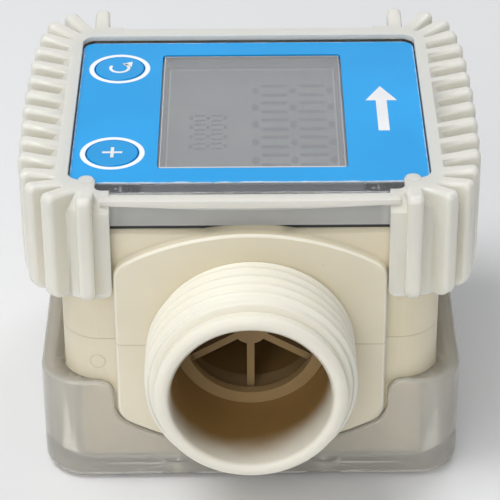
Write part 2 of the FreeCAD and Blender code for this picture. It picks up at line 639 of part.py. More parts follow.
def make_display_housing():
    """Clear display head: top plate, walls, screw bosses, button guides, label recess."""
    body = new_body("display_housing")
    plan = new_sketch(body, "head_plan", offset="dims.head_seal_top")
    draw_rounded(plan, "dims.head_width", "dims.head_depth", "dims.head_round")
    block = pad(body, "head_block", plan, "dims.head_top - dims.head_seal_top")
    dress(body, "head_top_edge", "Fillet", block, lies_at(size("head_top")), "dims.head_edge")
    inside = new_sketch(body, "head_inside_plan", offset="dims.head_seal_top")
    draw_rounded(inside, "dims.head_width - 2 * dims.head_wall",
                 "dims.head_depth - 2 * dims.head_wall", "dims.head_round - dims.head_wall")
    ceiling = "dims.head_top - dims.head_plate"
    pocket(body, "head_inside", inside, f"{ceiling} - dims.head_seal_top", reverse=True)
    bosses = new_sketch(body, "head_boss_plan", offset="dims.head_seal_top")
    for side_x, side_y in CORNERS:
        x, y = f"{side_x} * dims.head_screw_x", f"{side_y} * dims.head_screw_y"
        draw_circle(bosses, "dims.head_boss", x, y)
    pad(body, "head_bosses", bosses, f"{ceiling} - dims.head_seal_top + 0.3")
    guides = new_sketch(body, "guide_plan", offset="dims.guide_end")
    wells = new_sketch(body, "well_plan", offset="dims.head_top")
    bores = new_sketch(body, "guide_bore_plan", offset="dims.head_top")
    for side in SIDES:
        x, y = "dims.button_x", f"{side} * dims.button_y"
        draw_circle(guides, "dims.button_guide", x, y)
        draw_circle(wells, "dims.button_cap + dims.button_gap", x, y)
        draw_circle(bores, "dims.button_stem + dims.running_gap", x, y)
    pad(body, "button_guides", guides, f"{ceiling} - dims.guide_end + 0.3")
    pocket(body, "button_wells", wells, "dims.head_top - dims.button_well")
    pocket(body, "guide_bores", bores, "dims.head_top - dims.guide_end + 0.1")
    recess = new_sketch(body, "label_recess_plan", offset="dims.head_top")
    draw_rounded(recess, "dims.label_width + 0.2", "dims.label_depth + 0.2", "dims.label_round + 0.1")
    pocket(body, "label_recess", recess, "dims.head_top - dims.label_bottom")
    blind = new_sketch(body, "head_blind_plan", offset="dims.head_seal_top")
    for side_x, side_y in CORNERS:
        x, y = f"{side_x} * dims.head_screw_x", f"{side_y} * dims.head_screw_y"
        draw_circle(blind, "dims.long_shank + dims.screw_gap", x, y)
    pocket(body, "head_blind_holes", blind, "dims.long_tip - dims.head_seal_top + 0.2", reverse=True)
    finish(body, "display_housing")


def make_display_label():
    """Printed face with its window and the two button holes."""
    body = new_body("display_label")
    plan = new_sketch(body, "label_plan", offset="dims.label_bottom")
    draw_rounded(plan, "dims.label_width", "dims.label_depth", "dims.label_round")
    draw_rounded(plan, "dims.window_width", "dims.window_depth", "dims.window_round",
                 "dims.window_shift")
    for side in SIDES:
        draw_circle(plan, "dims.button_cap + dims.button_gap", "dims.button_x",
                    f"{side} * dims.button_y")
    pad(body, "label", plan, "dims.label_top - dims.label_bottom")
    finish(body, "display_label")


def make_lcd():
    """Display glass, and the stepped frame that holds it on the board."""
    glass = box("lcd_glass", "dims.lcd_width", "dims.lcd_depth", "dims.board_top", "dims.lcd_top",
                x="dims.window_shift")
    finish(glass, "lcd_panel", "dims.board_top")
    body = new_body("lcd_frame")
    plan = new_sketch(body, "frame_plan", offset="dims.board_top")
    width, depth = "dims.lcd_width + 0.2", "dims.lcd_depth + 0.2"
    draw_rounded(plan, f"{width} + 2 * dims.frame_wall", f"{depth} + 2 * dims.frame_wall", "1",
                 "dims.window_shift")
    pad(body, "frame_block", plan, "dims.frame_top - dims.board_top")
    seat = new_sketch(body, "frame_seat_plan", offset="dims.board_top")
    draw_rounded(seat, width, depth, "0.3", "dims.window_shift")
    pocket(body, "frame_seat", seat, "dims.lcd_top - dims.board_top + 0.05", reverse=True)
    view = new_sketch(body, "frame_view_plan", offset="dims.frame_top")
    draw_rounded(view, "dims.frame_view", "dims.frame_view_depth", "dims.window_round",
                 "dims.window_shift")
    pocket(body, "frame_opening", view, "dims.frame_top - dims.lcd_top")
    finish(body, "lcd_frame")


def make_board():
    """Circuit board with its screws, controller, tact switches and Hall pick-up."""
    body = new_body("circuit_board")
    plan = new_sketch(body, "board_plan", offset="dims.board_bottom")
    draw_rounded(plan, "dims.board_width", "dims.board_depth", "dims.board_round")
    for side_x, side_y in CORNERS:
        draw_circle(plan, "dims.board_hole", f"{side_x} * dims.post_x", f"{side_y} * dims.post_y")
    pad(body, "board", plan, "dims.board_top - dims.board_bottom")
    finish(body, "circuit_board")

    screws = []
    for number, (side_x, side_y) in enumerate(CORNERS):
        x, y = f"{side_x} * dims.post_x", f"{side_y} * dims.post_y"
        head = cylinder(f"board_screw_head_{number}", "dims.board_screw_head", "dims.board_top",
                        "dims.board_top + dims.board_screw_rise", x, y)
        shank = cylinder(f"board_screw_shank_{number}", "dims.board_screw_shank",
                         "dims.board_bottom - dims.board_screw_depth", "dims.board_top + 0.5", x, y)
        screws.append(fuse(f"board_screw_{number}", head, shank))
    finish(group("board_screw_set", screws), "board_screws")

    chip_foot = "dims.board_bottom - dims.chip_height"
    chip = box("chip", "dims.chip_side", "dims.chip_side", chip_foot, "dims.board_bottom", "9", "8")
    finish(chip, "microcontroller", chip_foot)

    for side, name in zip(SIDES, ("reset_switch", "cal_switch")):
        x, y = "dims.button_x", f"{side} * dims.button_y"
        case_top = "dims.board_top + dims.switch_height"
        case = box(name + "_case", "dims.switch_side", "dims.switch_side", "dims.board_top",
                   case_top, x, y)
        nub = cylinder(name + "_nub", "dims.nub_radius", case_top + " - 0.2",
                       case_top + " + dims.switch_nub", x, y)
        finish(fuse(name + "_solid", case, nub), name)

    case = cylinder("hall_case", "dims.sensor_radius", "dims.sensor_foot", "dims.board_bottom")
    finish(case, "pickup_sensor", "dims.sensor_foot")


def make_buttons():
    """Two caps with stems that slide in the housing's guides."""
    for side, name in zip(SIDES, ("reset_button", "cal_button")):
        x, y = "dims.button_x", f"{side} * dims.button_y"
        cap = cylinder(name + "_cap", "dims.button_cap", "dims.button_under", "dims.button_top", x, y)
        doc.recompute()
        eased = doc.addObject("Part::Fillet", name + "_eased_cap")
        eased.Base = cap
        top, radius = size("button_top"), size("button_edge")
        eased.Edges = [(i, radius, radius) for i, edge in enumerate(cap.Shape.Edges, 1)
                       if lies_at(top)(edge)]
        stem = cylinder(name + "_stem", "dims.button_stem", "dims.button_foot",
                        "dims.button_under + 0.3", x, y)
        finish(fuse(name + "_solid", eased, stem), name)


def make_batteries():
    """Two AAA cells, head to tail, between contact plates."""
    plates = []
    for side, name in zip(SIDES, ("right", "left")):
        body = new_body(f"{name}_battery_cell")
        profile = new_sketch(body, f"{name}_cell_profile", "YZ_Plane")
        slack = "dims.nipple_length - dims.contact_thickness - dims.cell_slack"
        shift = f"(dims.bay_length - dims.cell_length) / 2 - {slack}"
        rear = f"-(dims.cell_length / 2) + ({shift})"
        front = f"dims.cell_length / 2 + ({shift})"
        nipple, radius = "dims.nipple_diameter / 2", "dims.cell_diameter / 2"
        edge, tip = "dims.cell_edge", front + " + dims.nipple_length"
        outline = [(rear, "0"), (rear, f"{radius} - {edge}"), (f"{rear} + {edge}", radius),
                   (f"{front} - {edge}", radius), (front, f"{radius} - {edge}"), (front, nipple),
                   (tip, nipple), (tip, "0")]
        draw_outline(profile, [(f"{side} * ({y})", z) for y, z in outline])
        turn(body, f"{name}_cell", profile)
        body.setExpression("Placement.Base.x", f"{side} * dims.bay_offset")
        finish(body, f"battery_cell_{name}", "dims.cell_height")
        middle = "dims.cell_height + dims.contact_lift"
        for end in SIDES:
            y = f"{end} * (dims.bay_length - dims.contact_thickness) / 2"
            plate = box(f"contact_{name}_{'rear' if end == 1 else 'front'}", "dims.contact_side",
                        "dims.contact_thickness", middle + " - dims.contact_side / 2",
                        middle + " + dims.contact_side / 2", f"{side} * dims.bay_offset", y)
            plates.append(plate)
    finish(group("contact_set", plates), "battery_contacts")


def make_battery_springs():
    """Coil springs behind the cells' flat ends."""
    springs = []
    room = "dims.bay_length - dims.cell_length - dims.nipple_length - 2 * dims.contact_thickness"
    height = f"({room} - dims.cell_slack - 2 * dims.spring_wire - 0.3)"
    for side in SIDES:
        name = "right" if side == 1 else "left"
        helix = doc.addObject("Part::Helix", f"spring_path_{name}")
        helix.setExpression("Pitch", f"{height} / dims.spring_turns")
        helix.setExpression("Height", height)
        helix.setExpression("Radius", "dims.spring_radius")
        wire = doc.addObject("Part::Circle", f"spring_wire_{name}")
        wire.setExpression("Radius", "dims.spring_wire")
        wire.Placement = Placement(Vector(0, 0, 0), Rotation(Vector(1, 0, 0), 90))
        wire.setExpression("Placement.Base.x", "dims.spring_radius")
        doc.recompute()
        spring = doc.addObject("Part::Sweep", f"spring_{name}")
        spring.Sections = [wire]
        spring.Spine = (helix, [f"Edge{i}" for i in range(1, len(helix.Shape.Edges) + 1)])
        spring.Solid = True
        spring.Frenet = True
        doc.recompute()
        # the spring's own axis lies along Z; turned, it runs from the plate to the cell
        seat = size("contact_thickness") + size("spring_wire") + 0.1
        start = -side * (size("bay_length") / 2 - seat)
        turned = Rotation(Vector(1, 0, 0), -90 * side)
        spring.Placement = Placement(Vector(side * size("bay_offset"), start, size("cell_height")),
                                     turned)
        springs.append(spring)
    finish(group("spring_set", springs), "battery_springs")


def make_spiders():
    """Flow straighteners: ring, six vanes, and a hub that carries the rotor's bush."""
    for side, name in zip(SIDES, ("inlet_spider", "outlet_spider")):
        body = new_body(name)
        grows = side == -1
        sign = "1" if side == 1 else "-1"
        inner = "dims.shoulder + 0.1"
        ring = new_sketch(body, name + "_ring_plan", "XZ_Plane", f"{sign} * ({inner})")
        draw_circle(ring, "dims.bore / 2 - 0.05")
        draw_circle(ring, "dims.bore / 2 - dims.spider_wall")
        pad(body, name + "_ring", ring, f"dims.spider_front - ({inner})", reverse=grows)
        hub = new_sketch(body, name + "_hub_plan", "XZ_Plane", f"{sign} * dims.hub_back")
        draw_circle(hub, "dims.vane_hub")
        nose = pad(body, name + "_hub", hub, "dims.vane_front - dims.hub_back", reverse=grows)
        vane = new_sketch(body, name + "_vane_plan", "XZ_Plane", f"{sign} * ({inner})")
        thick, deep = "dims.vane_thickness / 2", "dims.bore / 2 - dims.spider_wall / 2"
        draw_outline(vane, [(f"-{thick}", "-1.5"), (f"-{thick}", f"-({deep})"),
                            (thick, f"-({deep})"), (thick, "-1.5")])
        blade = pad(body, name + "_vane", vane, f"dims.vane_front - ({inner})", reverse=grows)
        round_array(body, name + "_vanes", blade, "dims.vane_count")
        seat = new_sketch(body, name + "_bush_plan", "XZ_Plane", f"{sign} * dims.hub_back")
        draw_circle(seat, "dims.bush_radius + 0.04")
        pocket(body, name + "_bush_seat", seat, "dims.bush_front - dims.hub_back", reverse=not grows)
        finish(body, name)

    for side, name in zip(SIDES, ("inlet_bush", "outlet_bush")):
        body = new_body(name)
        sign = "1" if side == 1 else "-1"
        plan = new_sketch(body, name + "_plan", "XZ_Plane", f"{sign} * dims.hub_back")
        draw_circle(plan, "dims.bush_radius")
        draw_circle(plan, "dims.shaft_radius + dims.running_gap")
        pad(body, name + "_sleeve", plan, "dims.bush_front - dims.hub_back", reverse=side == -1)
        finish(body, name)


def make_rotor():
    """Turbine: waisted hub, twisted blades, shaft and two magnets."""
    body = new_body("turbine_rotor")
    # drawn in the XY plane, which keeps the hub's seam away from the blades that cross +Z
    profile = new_sketch(body, "hub_profile", "XY_Plane")
    half, hub, nose = "dims.rotor_half", "dims.rotor_hub", "dims.rotor_nose"
    draw_outline(profile, [("0", "-" + half), (f"{hub} - {nose}", "-" + half),
                           (hub, f"-{half} + {nose}"), (hub, f"{half} - {nose}"),
                           (f"{hub} - {nose}", half), ("0", half)])
    turn(body, "rotor_hub", profile, axis="V_Axis")

    sections = []
    steps = 4
    for step in range(steps + 1):
        share = step / steps
        section = new_sketch(body, f"blade_section_{step}", "XZ_Plane",
                             f"({share} - 0.5) * 2 * dims.blade_half")
        angle = math.radians((share - 0.5) * size("blade_twist") + size("blade_phase"))
        thick = size("blade_thickness") / 2
        thin = thick - size("blade_thinning")
        root, tip = size("blade_root"), size("blade_tip")
        across = Vector(math.cos(angle), math.sin(angle), 0)
        along = Vector(-math.sin(angle), math.cos(angle), 0)
        start, end = across * root - along * thick, across * tip - along * thin
        far, near = across * tip + along * thin, across * root + along * thick
        crown = across * (tip + size("blade_crown"))
        first = section.addGeometry(Part.LineSegment(start, end))
        rim = section.addGeometry(Part.Arc(end, crown, far))
        last = section.addGeometry(Part.LineSegment(far, near))
        base = section.addGeometry(Part.LineSegment(near, start))
        order = [(first, 2, rim, 1), (rim, 2, last, 1), (last, 2, base, 1), (base, 2, first, 1)]
        for link in order:
            section.addConstraint(Sketcher.Constraint("Coincident", *link))
        sections.append(section)
    doc.recompute()
    blade = body.newObject("PartDesign::AdditiveLoft", "blade")
    blade.Profile = sections[0]
    blade.Sections = sections[1:]
    blade.Ruled = False
    doc.recompute()
    round_array(body, "blades", blade, "dims.blade_count")

    through = new_sketch(body, "shaft_hole_plan", "XZ_Plane", "-dims.rotor_half")
    draw_circle(through, "dims.shaft_radius + 0.02")
    pocket(body, "shaft_hole", through, "2 * dims.rotor_half", reverse=True)
    for side, name in zip(SIDES, ("upper", "lower")):
        sign = "1" if side == 1 else "-1"
        seat = new_sketch(body, name + "_magnet_plan", "XY_Plane", f"{sign} * dims.rotor_hub")
        draw_circle(seat, "dims.magnet_radius + 0.04")
        pocket(body, name + "_magnet_seat", seat, "dims.magnet_seat", reverse=side == -1)
    finish(body, "turbine_rotor")

    shaft = doc.addObject("Part::Cylinder", "shaft")
    shaft.setExpression("Radius", "dims.shaft_radius")
    shaft.setExpression("Height", "2 * dims.shaft_half")
    shaft.Placement = Placement(Vector(0, 0, 0), Rotation(Vector(1, 0, 0), 90))
    shaft.setExpression("Placement.Base.y", "dims.shaft_half")
    finish(shaft, "rotor_shaft")

    upper = cylinder("upper_magnet", "dims.magnet_radius", "dims.magnet_reach - dims.magnet_length",
                     "dims.magnet_reach")
    lower = cylinder("lower_magnet", "dims.magnet_radius", "-dims.magnet_reach",
                     "dims.magnet_length - dims.magnet_reach")
    finish(group("magnet_pair", [upper, lower]), "rotor_magnets")


def make_screws():
    """Long screws into the display housing, short ones in the lower cover."""
    kinds = [("housing_screws", "head_screw", "long"), ("lower_cover_screws", "cover_screw", "short")]
    for name, place, kind in kinds:
        screws = []
        for number, (side_x, side_y) in enumerate(CORNERS):
            x, y = f"{side_x} * dims.{place}_x", f"{side_y} * dims.{place}_y"
            seat = f"dims.{kind}_head_seat"
            head = cylinder(f"{kind}_head_{number}", f"dims.{kind}_head",
                            f"{seat} - dims.{kind}_head_height", seat, x, y)
            shank = cylinder(f"{kind}_shank_{number}", f"dims.{kind}_shank", f"{seat} - 0.5",
                             f"dims.{kind}_tip", x, y)
            screws.append(fuse(f"{kind}_screw_{number}", head, shank))
        finish(group(name + "_set", screws), name)


def grip_fin(name, tip, heading):
    """One fin whose outer face is at tip and looks along heading, degrees from +Y."""
    body = new_body(name)
    # in the fin's own frame Y runs outwards to 0 at the tip, and Z is up
    side_view = new_sketch(body, name + "_side_view", "YZ_Plane", "-dims.fin_thickness / 2")
    draw_outline(side_view, [("-dims.fin_length", "dims.boot_foot"), ("0", "dims.boot_foot"),
                             ("0", "dims.fin_top"), ("-dims.fin_length", "dims.boot_rim - 0.2")])
    blank = pad(body, name + "_blank", side_view, "dims.fin_thickness")
    foot, half = size("boot_foot"), size("fin_thickness") / 2

    def tip_edge(low):
        def picks(edge):
            middle = edge.BoundBox.Center
            across = edge.BoundBox.XLength > half and middle.y > -1e-4
            return across and (middle.z < foot + 1e-4) == low
        return picks

    def flank_edge(edge):
        bounds = edge.BoundBox
        return bounds.XLength < 1e-4 and bounds.YMax > -size("fin_length") + 1e-4
    heeled = dress(body, name + "_heel", "Fillet", blank, tip_edge(True), "dims.fin_heel")
    crowned = dress(body, name + "_crown", "Fillet", heeled, tip_edge(False), "dims.fin_crown")
    dress(body, name + "_flanks", "Fillet", crowned, flank_edge, "dims.fin_edge")
    body.Placement = Placement(Vector(*tip, 0), Rotation(Vector(0, 0, 1), heading))
    return body


def make_boot():
    """Soft boot: leaning shoulder, open front and rear, straps, and a comb of grip fins."""
    outer = new_body("boot_outer")
    plan = new_sketch(outer, "boot_plan", offset="dims.boot_foot")
    draw_rounded(plan, "dims.boot_width", "dims.boot_depth", "dims.boot_round")
    pad(outer, "boot_walls", plan, "dims.boot_shoulder - dims.boot_foot")
    plan = new_sketch(outer, "boot_shoulder_plan", offset="dims.boot_shoulder")
    draw_rounded(plan, "dims.boot_width", "dims.boot_depth", "dims.boot_round")
    shoulder = pad(outer, "boot_lean_in", plan, "dims.boot_rim - dims.boot_shoulder")
    shoulder.setExpression("TaperAngle", "-dims.boot_lean")
    doc.recompute()

    fins = []
    for side in SIDES:
        for place in range(SIDE_FINS):
            y = (place - (SIDE_FINS - 1) / 2) * size("fin_pitch")
            reach = size("fin_reach") - size("fin_sag") * y * y
            fins.append(grip_fin(f"side_fin_{side + 1}_{place}", (side * reach, y), -90 * side))
    for quarter, (side_x, side_y) in enumerate(CORNERS):
        for number, (tip_x, tip_y, lean) in enumerate(CORNER_FINS):
            out_x, out_y = math.cos(math.radians(lean)), math.sin(math.radians(lean))
            heading = math.degrees(math.atan2(side_y * out_y, side_x * out_x)) - 90
            fins.append(grip_fin(f"corner_fin_{number}_{quarter}", (side_x * tip_x, side_y * tip_y),
                                 heading))
        tip = (side_x * size("post_fin_x"), side_y * size("post_fin_reach"))
        fins.append(grip_fin(f"post_fin_{quarter}", tip, 90 - 90 * side_y))
    shell = fuse("boot_shell", outer, *fins)

    hollow = new_body("boot_hollow")
    inside = new_sketch(hollow, "boot_inside_plan", offset="dims.boot_foot - 1")
    draw_rounded(inside, "dims.boot_inner_width", "dims.boot_inner_depth", "dims.boot_round - 1.6")
    pad(hollow, "boot_inside", inside, "dims.boot_step - dims.boot_foot + 1")
    upper = new_sketch(hollow, "boot_upper_plan", offset="dims.boot_step - 1")
    draw_rounded(upper, "dims.head_width + 0.5", "dims.head_depth + 0.5", "dims.head_round + 0.25")
    pad(hollow, "boot_upper", upper, "dims.boot_ceiling - dims.boot_step + 1")
    above = "dims.fin_top - dims.boot_ceiling + 2"
    opening = new_sketch(hollow, "boot_opening_plan", offset="dims.boot_ceiling - 1")
    draw_rounded(opening, "dims.boot_view_width", "dims.boot_view_rear - dims.boot_view_front", "2.2",
                 "0", "(dims.boot_view_rear + dims.boot_view_front) / 2")
    pad(hollow, "boot_opening", opening, above)
    lip_gap = new_sketch(hollow, "lip_gap_plan", offset="dims.boot_ceiling - 1")
    inner_edge = "(dims.boot_view_front + 4)"
    draw_rounded(lip_gap, "dims.lip_gap_width", f"{inner_edge} - dims.strap_front_in",
                 "dims.lip_gap_round", "0", f"({inner_edge} + dims.strap_front_in) / 2")
    pad(hollow, "lip_gap", lip_gap, above)
    half = "dims.boot_window / 2"
    beyond = "dims.boot_depth / 2 + 1"
    low, deep = "dims.boot_foot - 1", "dims.fin_top - dims.boot_foot + 2"
    rear = new_sketch(hollow, "rear_window_plan", offset=low)
    draw_outline(rear, [(half, "dims.strap_rear_out"), (half, beyond), (f"-{half}", beyond),
                        (f"-{half}", "dims.strap_rear_out")])
    pad(hollow, "rear_window", rear, deep)
    front = new_sketch(hollow, "front_window_plan", offset=low)
    draw_outline(front, [(half, f"-({beyond})"), (half, "dims.boot_view_front + 1"),
                         (f"-{half}", "dims.boot_view_front + 1"), (f"-{half}", f"-({beyond})")])
    pad(hollow, "front_window", front, deep)
    open_shell = cut("boot_open_shell", shell, hollow)

    foot, leg_x, radius = size("boot_foot"), size("boot_window") / 2, size("leg_round")

    def leg_corner(edge):
        middle = edge.BoundBox.Center
        at_corner = abs(middle.z - foot) < 1e-4 and abs(abs(middle.x) - leg_x) < 1e-4
        return at_corner and edge.BoundBox.XLength < 1e-4
    legs = doc.addObject("Part::Fillet", "boot_rounded_legs")
    legs.Base = open_shell
    legs.Edges = [(i, radius, radius) for i, edge in enumerate(open_shell.Shape.Edges, 1)
                  if leg_corner(edge)]
    doc.recompute()

    bumps = [cylinder(f"boot_bump_{side + 1}", "dims.bump_radius", "dims.boot_ceiling",
                      "dims.boot_rim + 0.1", f"{side} * dims.post_fin_x", "dims.bump_y")
             for side in SIDES]
    finish(fuse("boot_solid", legs, make_front_strap(), *bumps), "protective_boot")


def make_front_strap():
    """Strap across the boot's front, between two arcs: it hangs a little at its middle."""
    strap = new_body("boot_strap")
    face = new_sketch(strap, "front_strap_face", "XZ_Plane", "-dims.strap_front_in")
    end = size("boot_window") / 2 + size("strap_anchor")
    foot, top = size("strap_front_foot"), size("strap_front_top")
    low = Part.Arc(Vector(-end, foot, 0), Vector(0, foot - size("strap_sag"), 0), Vector(end, foot, 0))
    high = Part.Arc(Vector(-end, top, 0), Vector(0, top - size("strap_dip"), 0), Vector(end, top, 0))
    face.addGeometry(low)
    face.addGeometry(high)
    for side in SIDES:
        face.addGeometry(Part.LineSegment(Vector(side * end, foot, 0), Vector(side * end, top, 0)))
    pad(strap, "front_strap", face, "dims.strap_front_in - dims.strap_front_out")
    return strap


make_meter_body()
make_lower_cover()
make_gasket("lower_cover_gasket", "(dims.block_width - 0.4)", "(dims.block_depth - 0.4)",
            "(dims.block_round - 0.2)", "dims.seal_width", "dims.cover_seal_bottom", "dims.block_bottom")
make_gasket("housing_gasket", "(dims.head_width - 1)", "(dims.head_depth - 1)",
            "(dims.head_round - 0.5)", "dims.head_seal_width", "dims.block_top", "dims.head_seal_top",
            hole="dims.long_shank + 2 * dims.screw_gap")
make_display_housing()
make_display_label()
make_lcd()
make_board()
make_buttons()
make_batteries()
make_battery_springs()
make_spiders()
make_rotor()
make_screws()
make_boot()
doc.recompute()

# ---------------------------------------------------------------- checks and export

for item in doc.Objects:
    if "Invalid" in item.State or "Error" in item.State:
        raise RuntimeError(f"{item.Label} failed: {item.State}")
os.makedirs("parts", exist_ok=True)
for feature in finished:
    shape = feature.Shape
    if shape.isNull() or not shape.isValid():
        raise RuntimeError(f"{feature.Label} has no valid shape")
    bounds = shape.BoundBox
    print(f"{feature.Label:20s} solids {len(shape.Solids):2d}  volume {shape.Volume:9.1f}"
          f"  x {bounds.XMin:7.2f} {bounds.XMax:6.2f}  y {bounds.YMin:7.2f} {bounds.YMax:6.2f}"
          f"  z {bounds.ZMin:6.2f} {bounds.ZMax:6.2f}")
for feature in finished:
    feature.Shape.exportStep(f"parts/{feature.Label}.step")
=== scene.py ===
"""Turbine flow meter: finishes, thread, display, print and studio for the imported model.

Lengths are metres in the frame of the model: +X across the meter, +Y along the flow, +Z up,
zero under the middle of the lower cover.
"""

import json
import math

import bmesh
import bpy
from mathutils import Matrix, Vector


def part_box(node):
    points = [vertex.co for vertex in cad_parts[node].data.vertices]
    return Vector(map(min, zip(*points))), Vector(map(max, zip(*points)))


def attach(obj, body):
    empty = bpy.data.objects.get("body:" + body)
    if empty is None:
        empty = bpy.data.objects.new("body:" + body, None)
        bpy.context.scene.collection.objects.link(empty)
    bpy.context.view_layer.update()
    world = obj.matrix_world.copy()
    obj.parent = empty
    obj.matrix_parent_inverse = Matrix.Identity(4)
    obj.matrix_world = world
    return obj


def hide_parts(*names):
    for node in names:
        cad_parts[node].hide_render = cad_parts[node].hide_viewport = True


bl_info = {
    "name": "Turbine Flow Meter",
    "version": (1, 0, 0),
    "blender": (4, 5, 0),
    "location": "View3D > Sidebar > Flow Meter",
    "description": "Dresses the packed turbine flow meter with finishes, thread, display and studio",
    "category": "Object",
}

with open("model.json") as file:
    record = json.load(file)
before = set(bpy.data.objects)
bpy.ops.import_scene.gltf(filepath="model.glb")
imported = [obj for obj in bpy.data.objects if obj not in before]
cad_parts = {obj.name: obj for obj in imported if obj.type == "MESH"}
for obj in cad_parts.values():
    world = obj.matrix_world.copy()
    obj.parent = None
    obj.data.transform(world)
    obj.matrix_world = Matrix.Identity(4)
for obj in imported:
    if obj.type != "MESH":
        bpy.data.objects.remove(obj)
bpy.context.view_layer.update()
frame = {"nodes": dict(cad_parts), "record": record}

MM = 0.001
HOUSING = "housing"
BUTTONS = ("reset_button", "cal_button")
THREAD = next(mount for mount in frame["record"]["mounts"] if mount["name"] == "inlet_thread")
AXIS = THREAD["pos_m"][2]                     # height of the pipe's axis
# of each set of screws: radius of a head, whether it faces down, half the span of its cross
SCREWS = {"housing_screws": (0.0022, True, 0.0013), "board_screws": (0.0018, False, 0.0010),
          "lower_cover_screws": (0.0027, True, 0.0016)}
CROSS_HALF_WIDTH = 0.00022                    # of a screw's cross recess
PRINT_RISE = 0.00003                          # printed marks stand this much off their surface
PRINT_WHITE = (0.84, 0.85, 0.86)
SATIN_FILM = {"IOR": 1.36, "Coat_Weight": 0.12, "Coat_Roughness": 0.1}


def middle(node):
    """Centre of a node's box."""
    low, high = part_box(node)
    return (Vector(low) + Vector(high)) / 2


def top_of(node):
    """Height of a node's highest point."""
    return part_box(node)[1][2]


# ---------------------------------------------------------------- node maths

class Wire:
    """A socket on which Python's operators add Math nodes."""

    def __init__(self, nodes, socket):
        self.nodes = nodes
        self.socket = socket

    def math(self, operation, *others):
        return self.nodes.add("ShaderNodeMath", {"operation": operation}, [self, *others])

    def __add__(self, other):
        return self.math("ADD", other)

    __radd__ = __add__

    def __sub__(self, other):
        return self.math("SUBTRACT", other)

    def __rsub__(self, other):
        return self.nodes.add("ShaderNodeMath", {"operation": "SUBTRACT"}, [other, self])

    def __mul__(self, other):
        return self.math("MULTIPLY", other)

    __rmul__ = __mul__

    def __truediv__(self, other):
        return self.math("DIVIDE", other)

    def __pow__(self, other):
        return self.math("POWER", other)

    def __lt__(self, other):
        return self.math("LESS_THAN", other)

    def __gt__(self, other):
        return self.math("GREATER_THAN", other)

    def absolute(self):
        return self.math("ABSOLUTE")

    def either(self, other):
        """The greater of two masks."""
        return self.math("MAXIMUM", other)

    def ramp(self, low, high):
        """0 below low, 1 above high, smooth between."""
        return self.nodes.add("ShaderNodeMapRange", {"interpolation_type": "SMOOTHSTEP"},
                              [self, low, high, 0.0, 1.0])

    def fall(self, low, high):
        """1 below low, 0 above high, smooth between."""
        return 1.0 - self.ramp(low, high)

    def line(self, place, near, far):
        """1 within near of a place, 0 farther from it than far."""
        return (self - place).absolute().fall(near, far)


def span(first, second):
    """Length of the diagonal over two wires."""
    return (first * first + second * second) ** 0.5


class Nodes:
    """Builds one node tree."""

    def __init__(self, tree):
        self.tree = tree
        tree.nodes.clear()

    def add(self, kind, settings=None, inputs=(), output=0):
        """One node: its settings first, then its inputs, a list or a dict by socket name."""
        node = self.tree.nodes.new(kind)
        for key, value in (settings or {}).items():
            setattr(node, key, value)
        named = inputs.items() if isinstance(inputs, dict) else enumerate(inputs)
        for key, value in named:
            if value is None:
                continue
            socket = node.inputs[key]
            if isinstance(value, Wire):
                self.tree.links.new(value.socket, socket)
            elif isinstance(socket.default_value, (int, float, bool, str)):
                socket.default_value = value
            else:
                wanted = len(socket.default_value)
                value = tuple(value)
                socket.default_value = value + (1.0,) if wanted == 4 and len(value) == 3 else value
        return Wire(self, node.outputs[output]) if node.outputs else None

    def split(self, vector):
        """The three parts of a vector."""
        first = self.add("ShaderNodeSeparateXYZ", inputs=[vector])
        outputs = first.socket.node.outputs
        return [Wire(self, outputs[i]) for i in range(3)]

    def noise(self, vector, size, detail=2.0, rough=0.5):
        """Noise from 0 to 1 with features of that size in metres."""
        return self.add("ShaderNodeTexNoise", None,
                        {"Vector": vector, "Scale": 1.0 / size, "Detail": detail, "Roughness": rough})

    def mix(self, share, first, second):
        """Colour between first and second. Sockets 6, 7 and output 2 are the colour ones."""
        return self.add("ShaderNodeMix", {"data_type": "RGBA"}, {0: share, 6: first, 7: second}, 2)


class Finish:
    """One material: object coordinates at hand, and a Principled shader at the end."""

    def __init__(self, name):
        self.material = bpy.data.materials.new(name)
        self.material.use_nodes = True
        self.nodes = Nodes(self.material.node_tree)
        self.place = self.nodes.add("ShaderNodeTexCoord", output="Object")
        self.x, self.y, self.z = self.nodes.split(self.place)

    def bump(self, height, depth, below=None):
        """A Bump node of that depth in metres over a height from 0 to 1."""
        return self.nodes.add("ShaderNodeBump", None,
                              {"Strength": 1.0, "Distance": depth, "Height": height, "Normal": below})

    def shader(self, **sockets):
        """A Principled shader. Names use _ for the spaces."""
        named = {key.replace("_", " "): value for key, value in sockets.items()}
        return self.nodes.add("ShaderNodeBsdfPrincipled", None, named)

    def close(self, shader):
        self.nodes.add("ShaderNodeOutputMaterial", None, {"Surface": shader})
        return self.material

    def done(self, **sockets):
        """Close the material with one Principled shader."""
        return self.close(self.shader(**sockets))

    def between(self, share, first, second):
        """Close the material with a mix of two shaders."""
        return self.close(self.nodes.add("ShaderNodeMixShader", None, [share, first, second]))

    def inset(self, low, high):
        """Distance in from the nearest side wall of a box."""
        gaps = []
        for axis, start, end in ((self.x, low[0], high[0]), (self.y, low[1], high[1])):
            gaps.append((end - start) / 2 - (axis - (start + end) / 2).absolute())
        return gaps[0].math("MINIMUM", gaps[1])


def dimmed(colour, *shares):
    """A colour whose parts are lowered to those shares, or all to one share."""
    return [part * share for part, share in zip(colour, shares * (3 // len(shares)))]


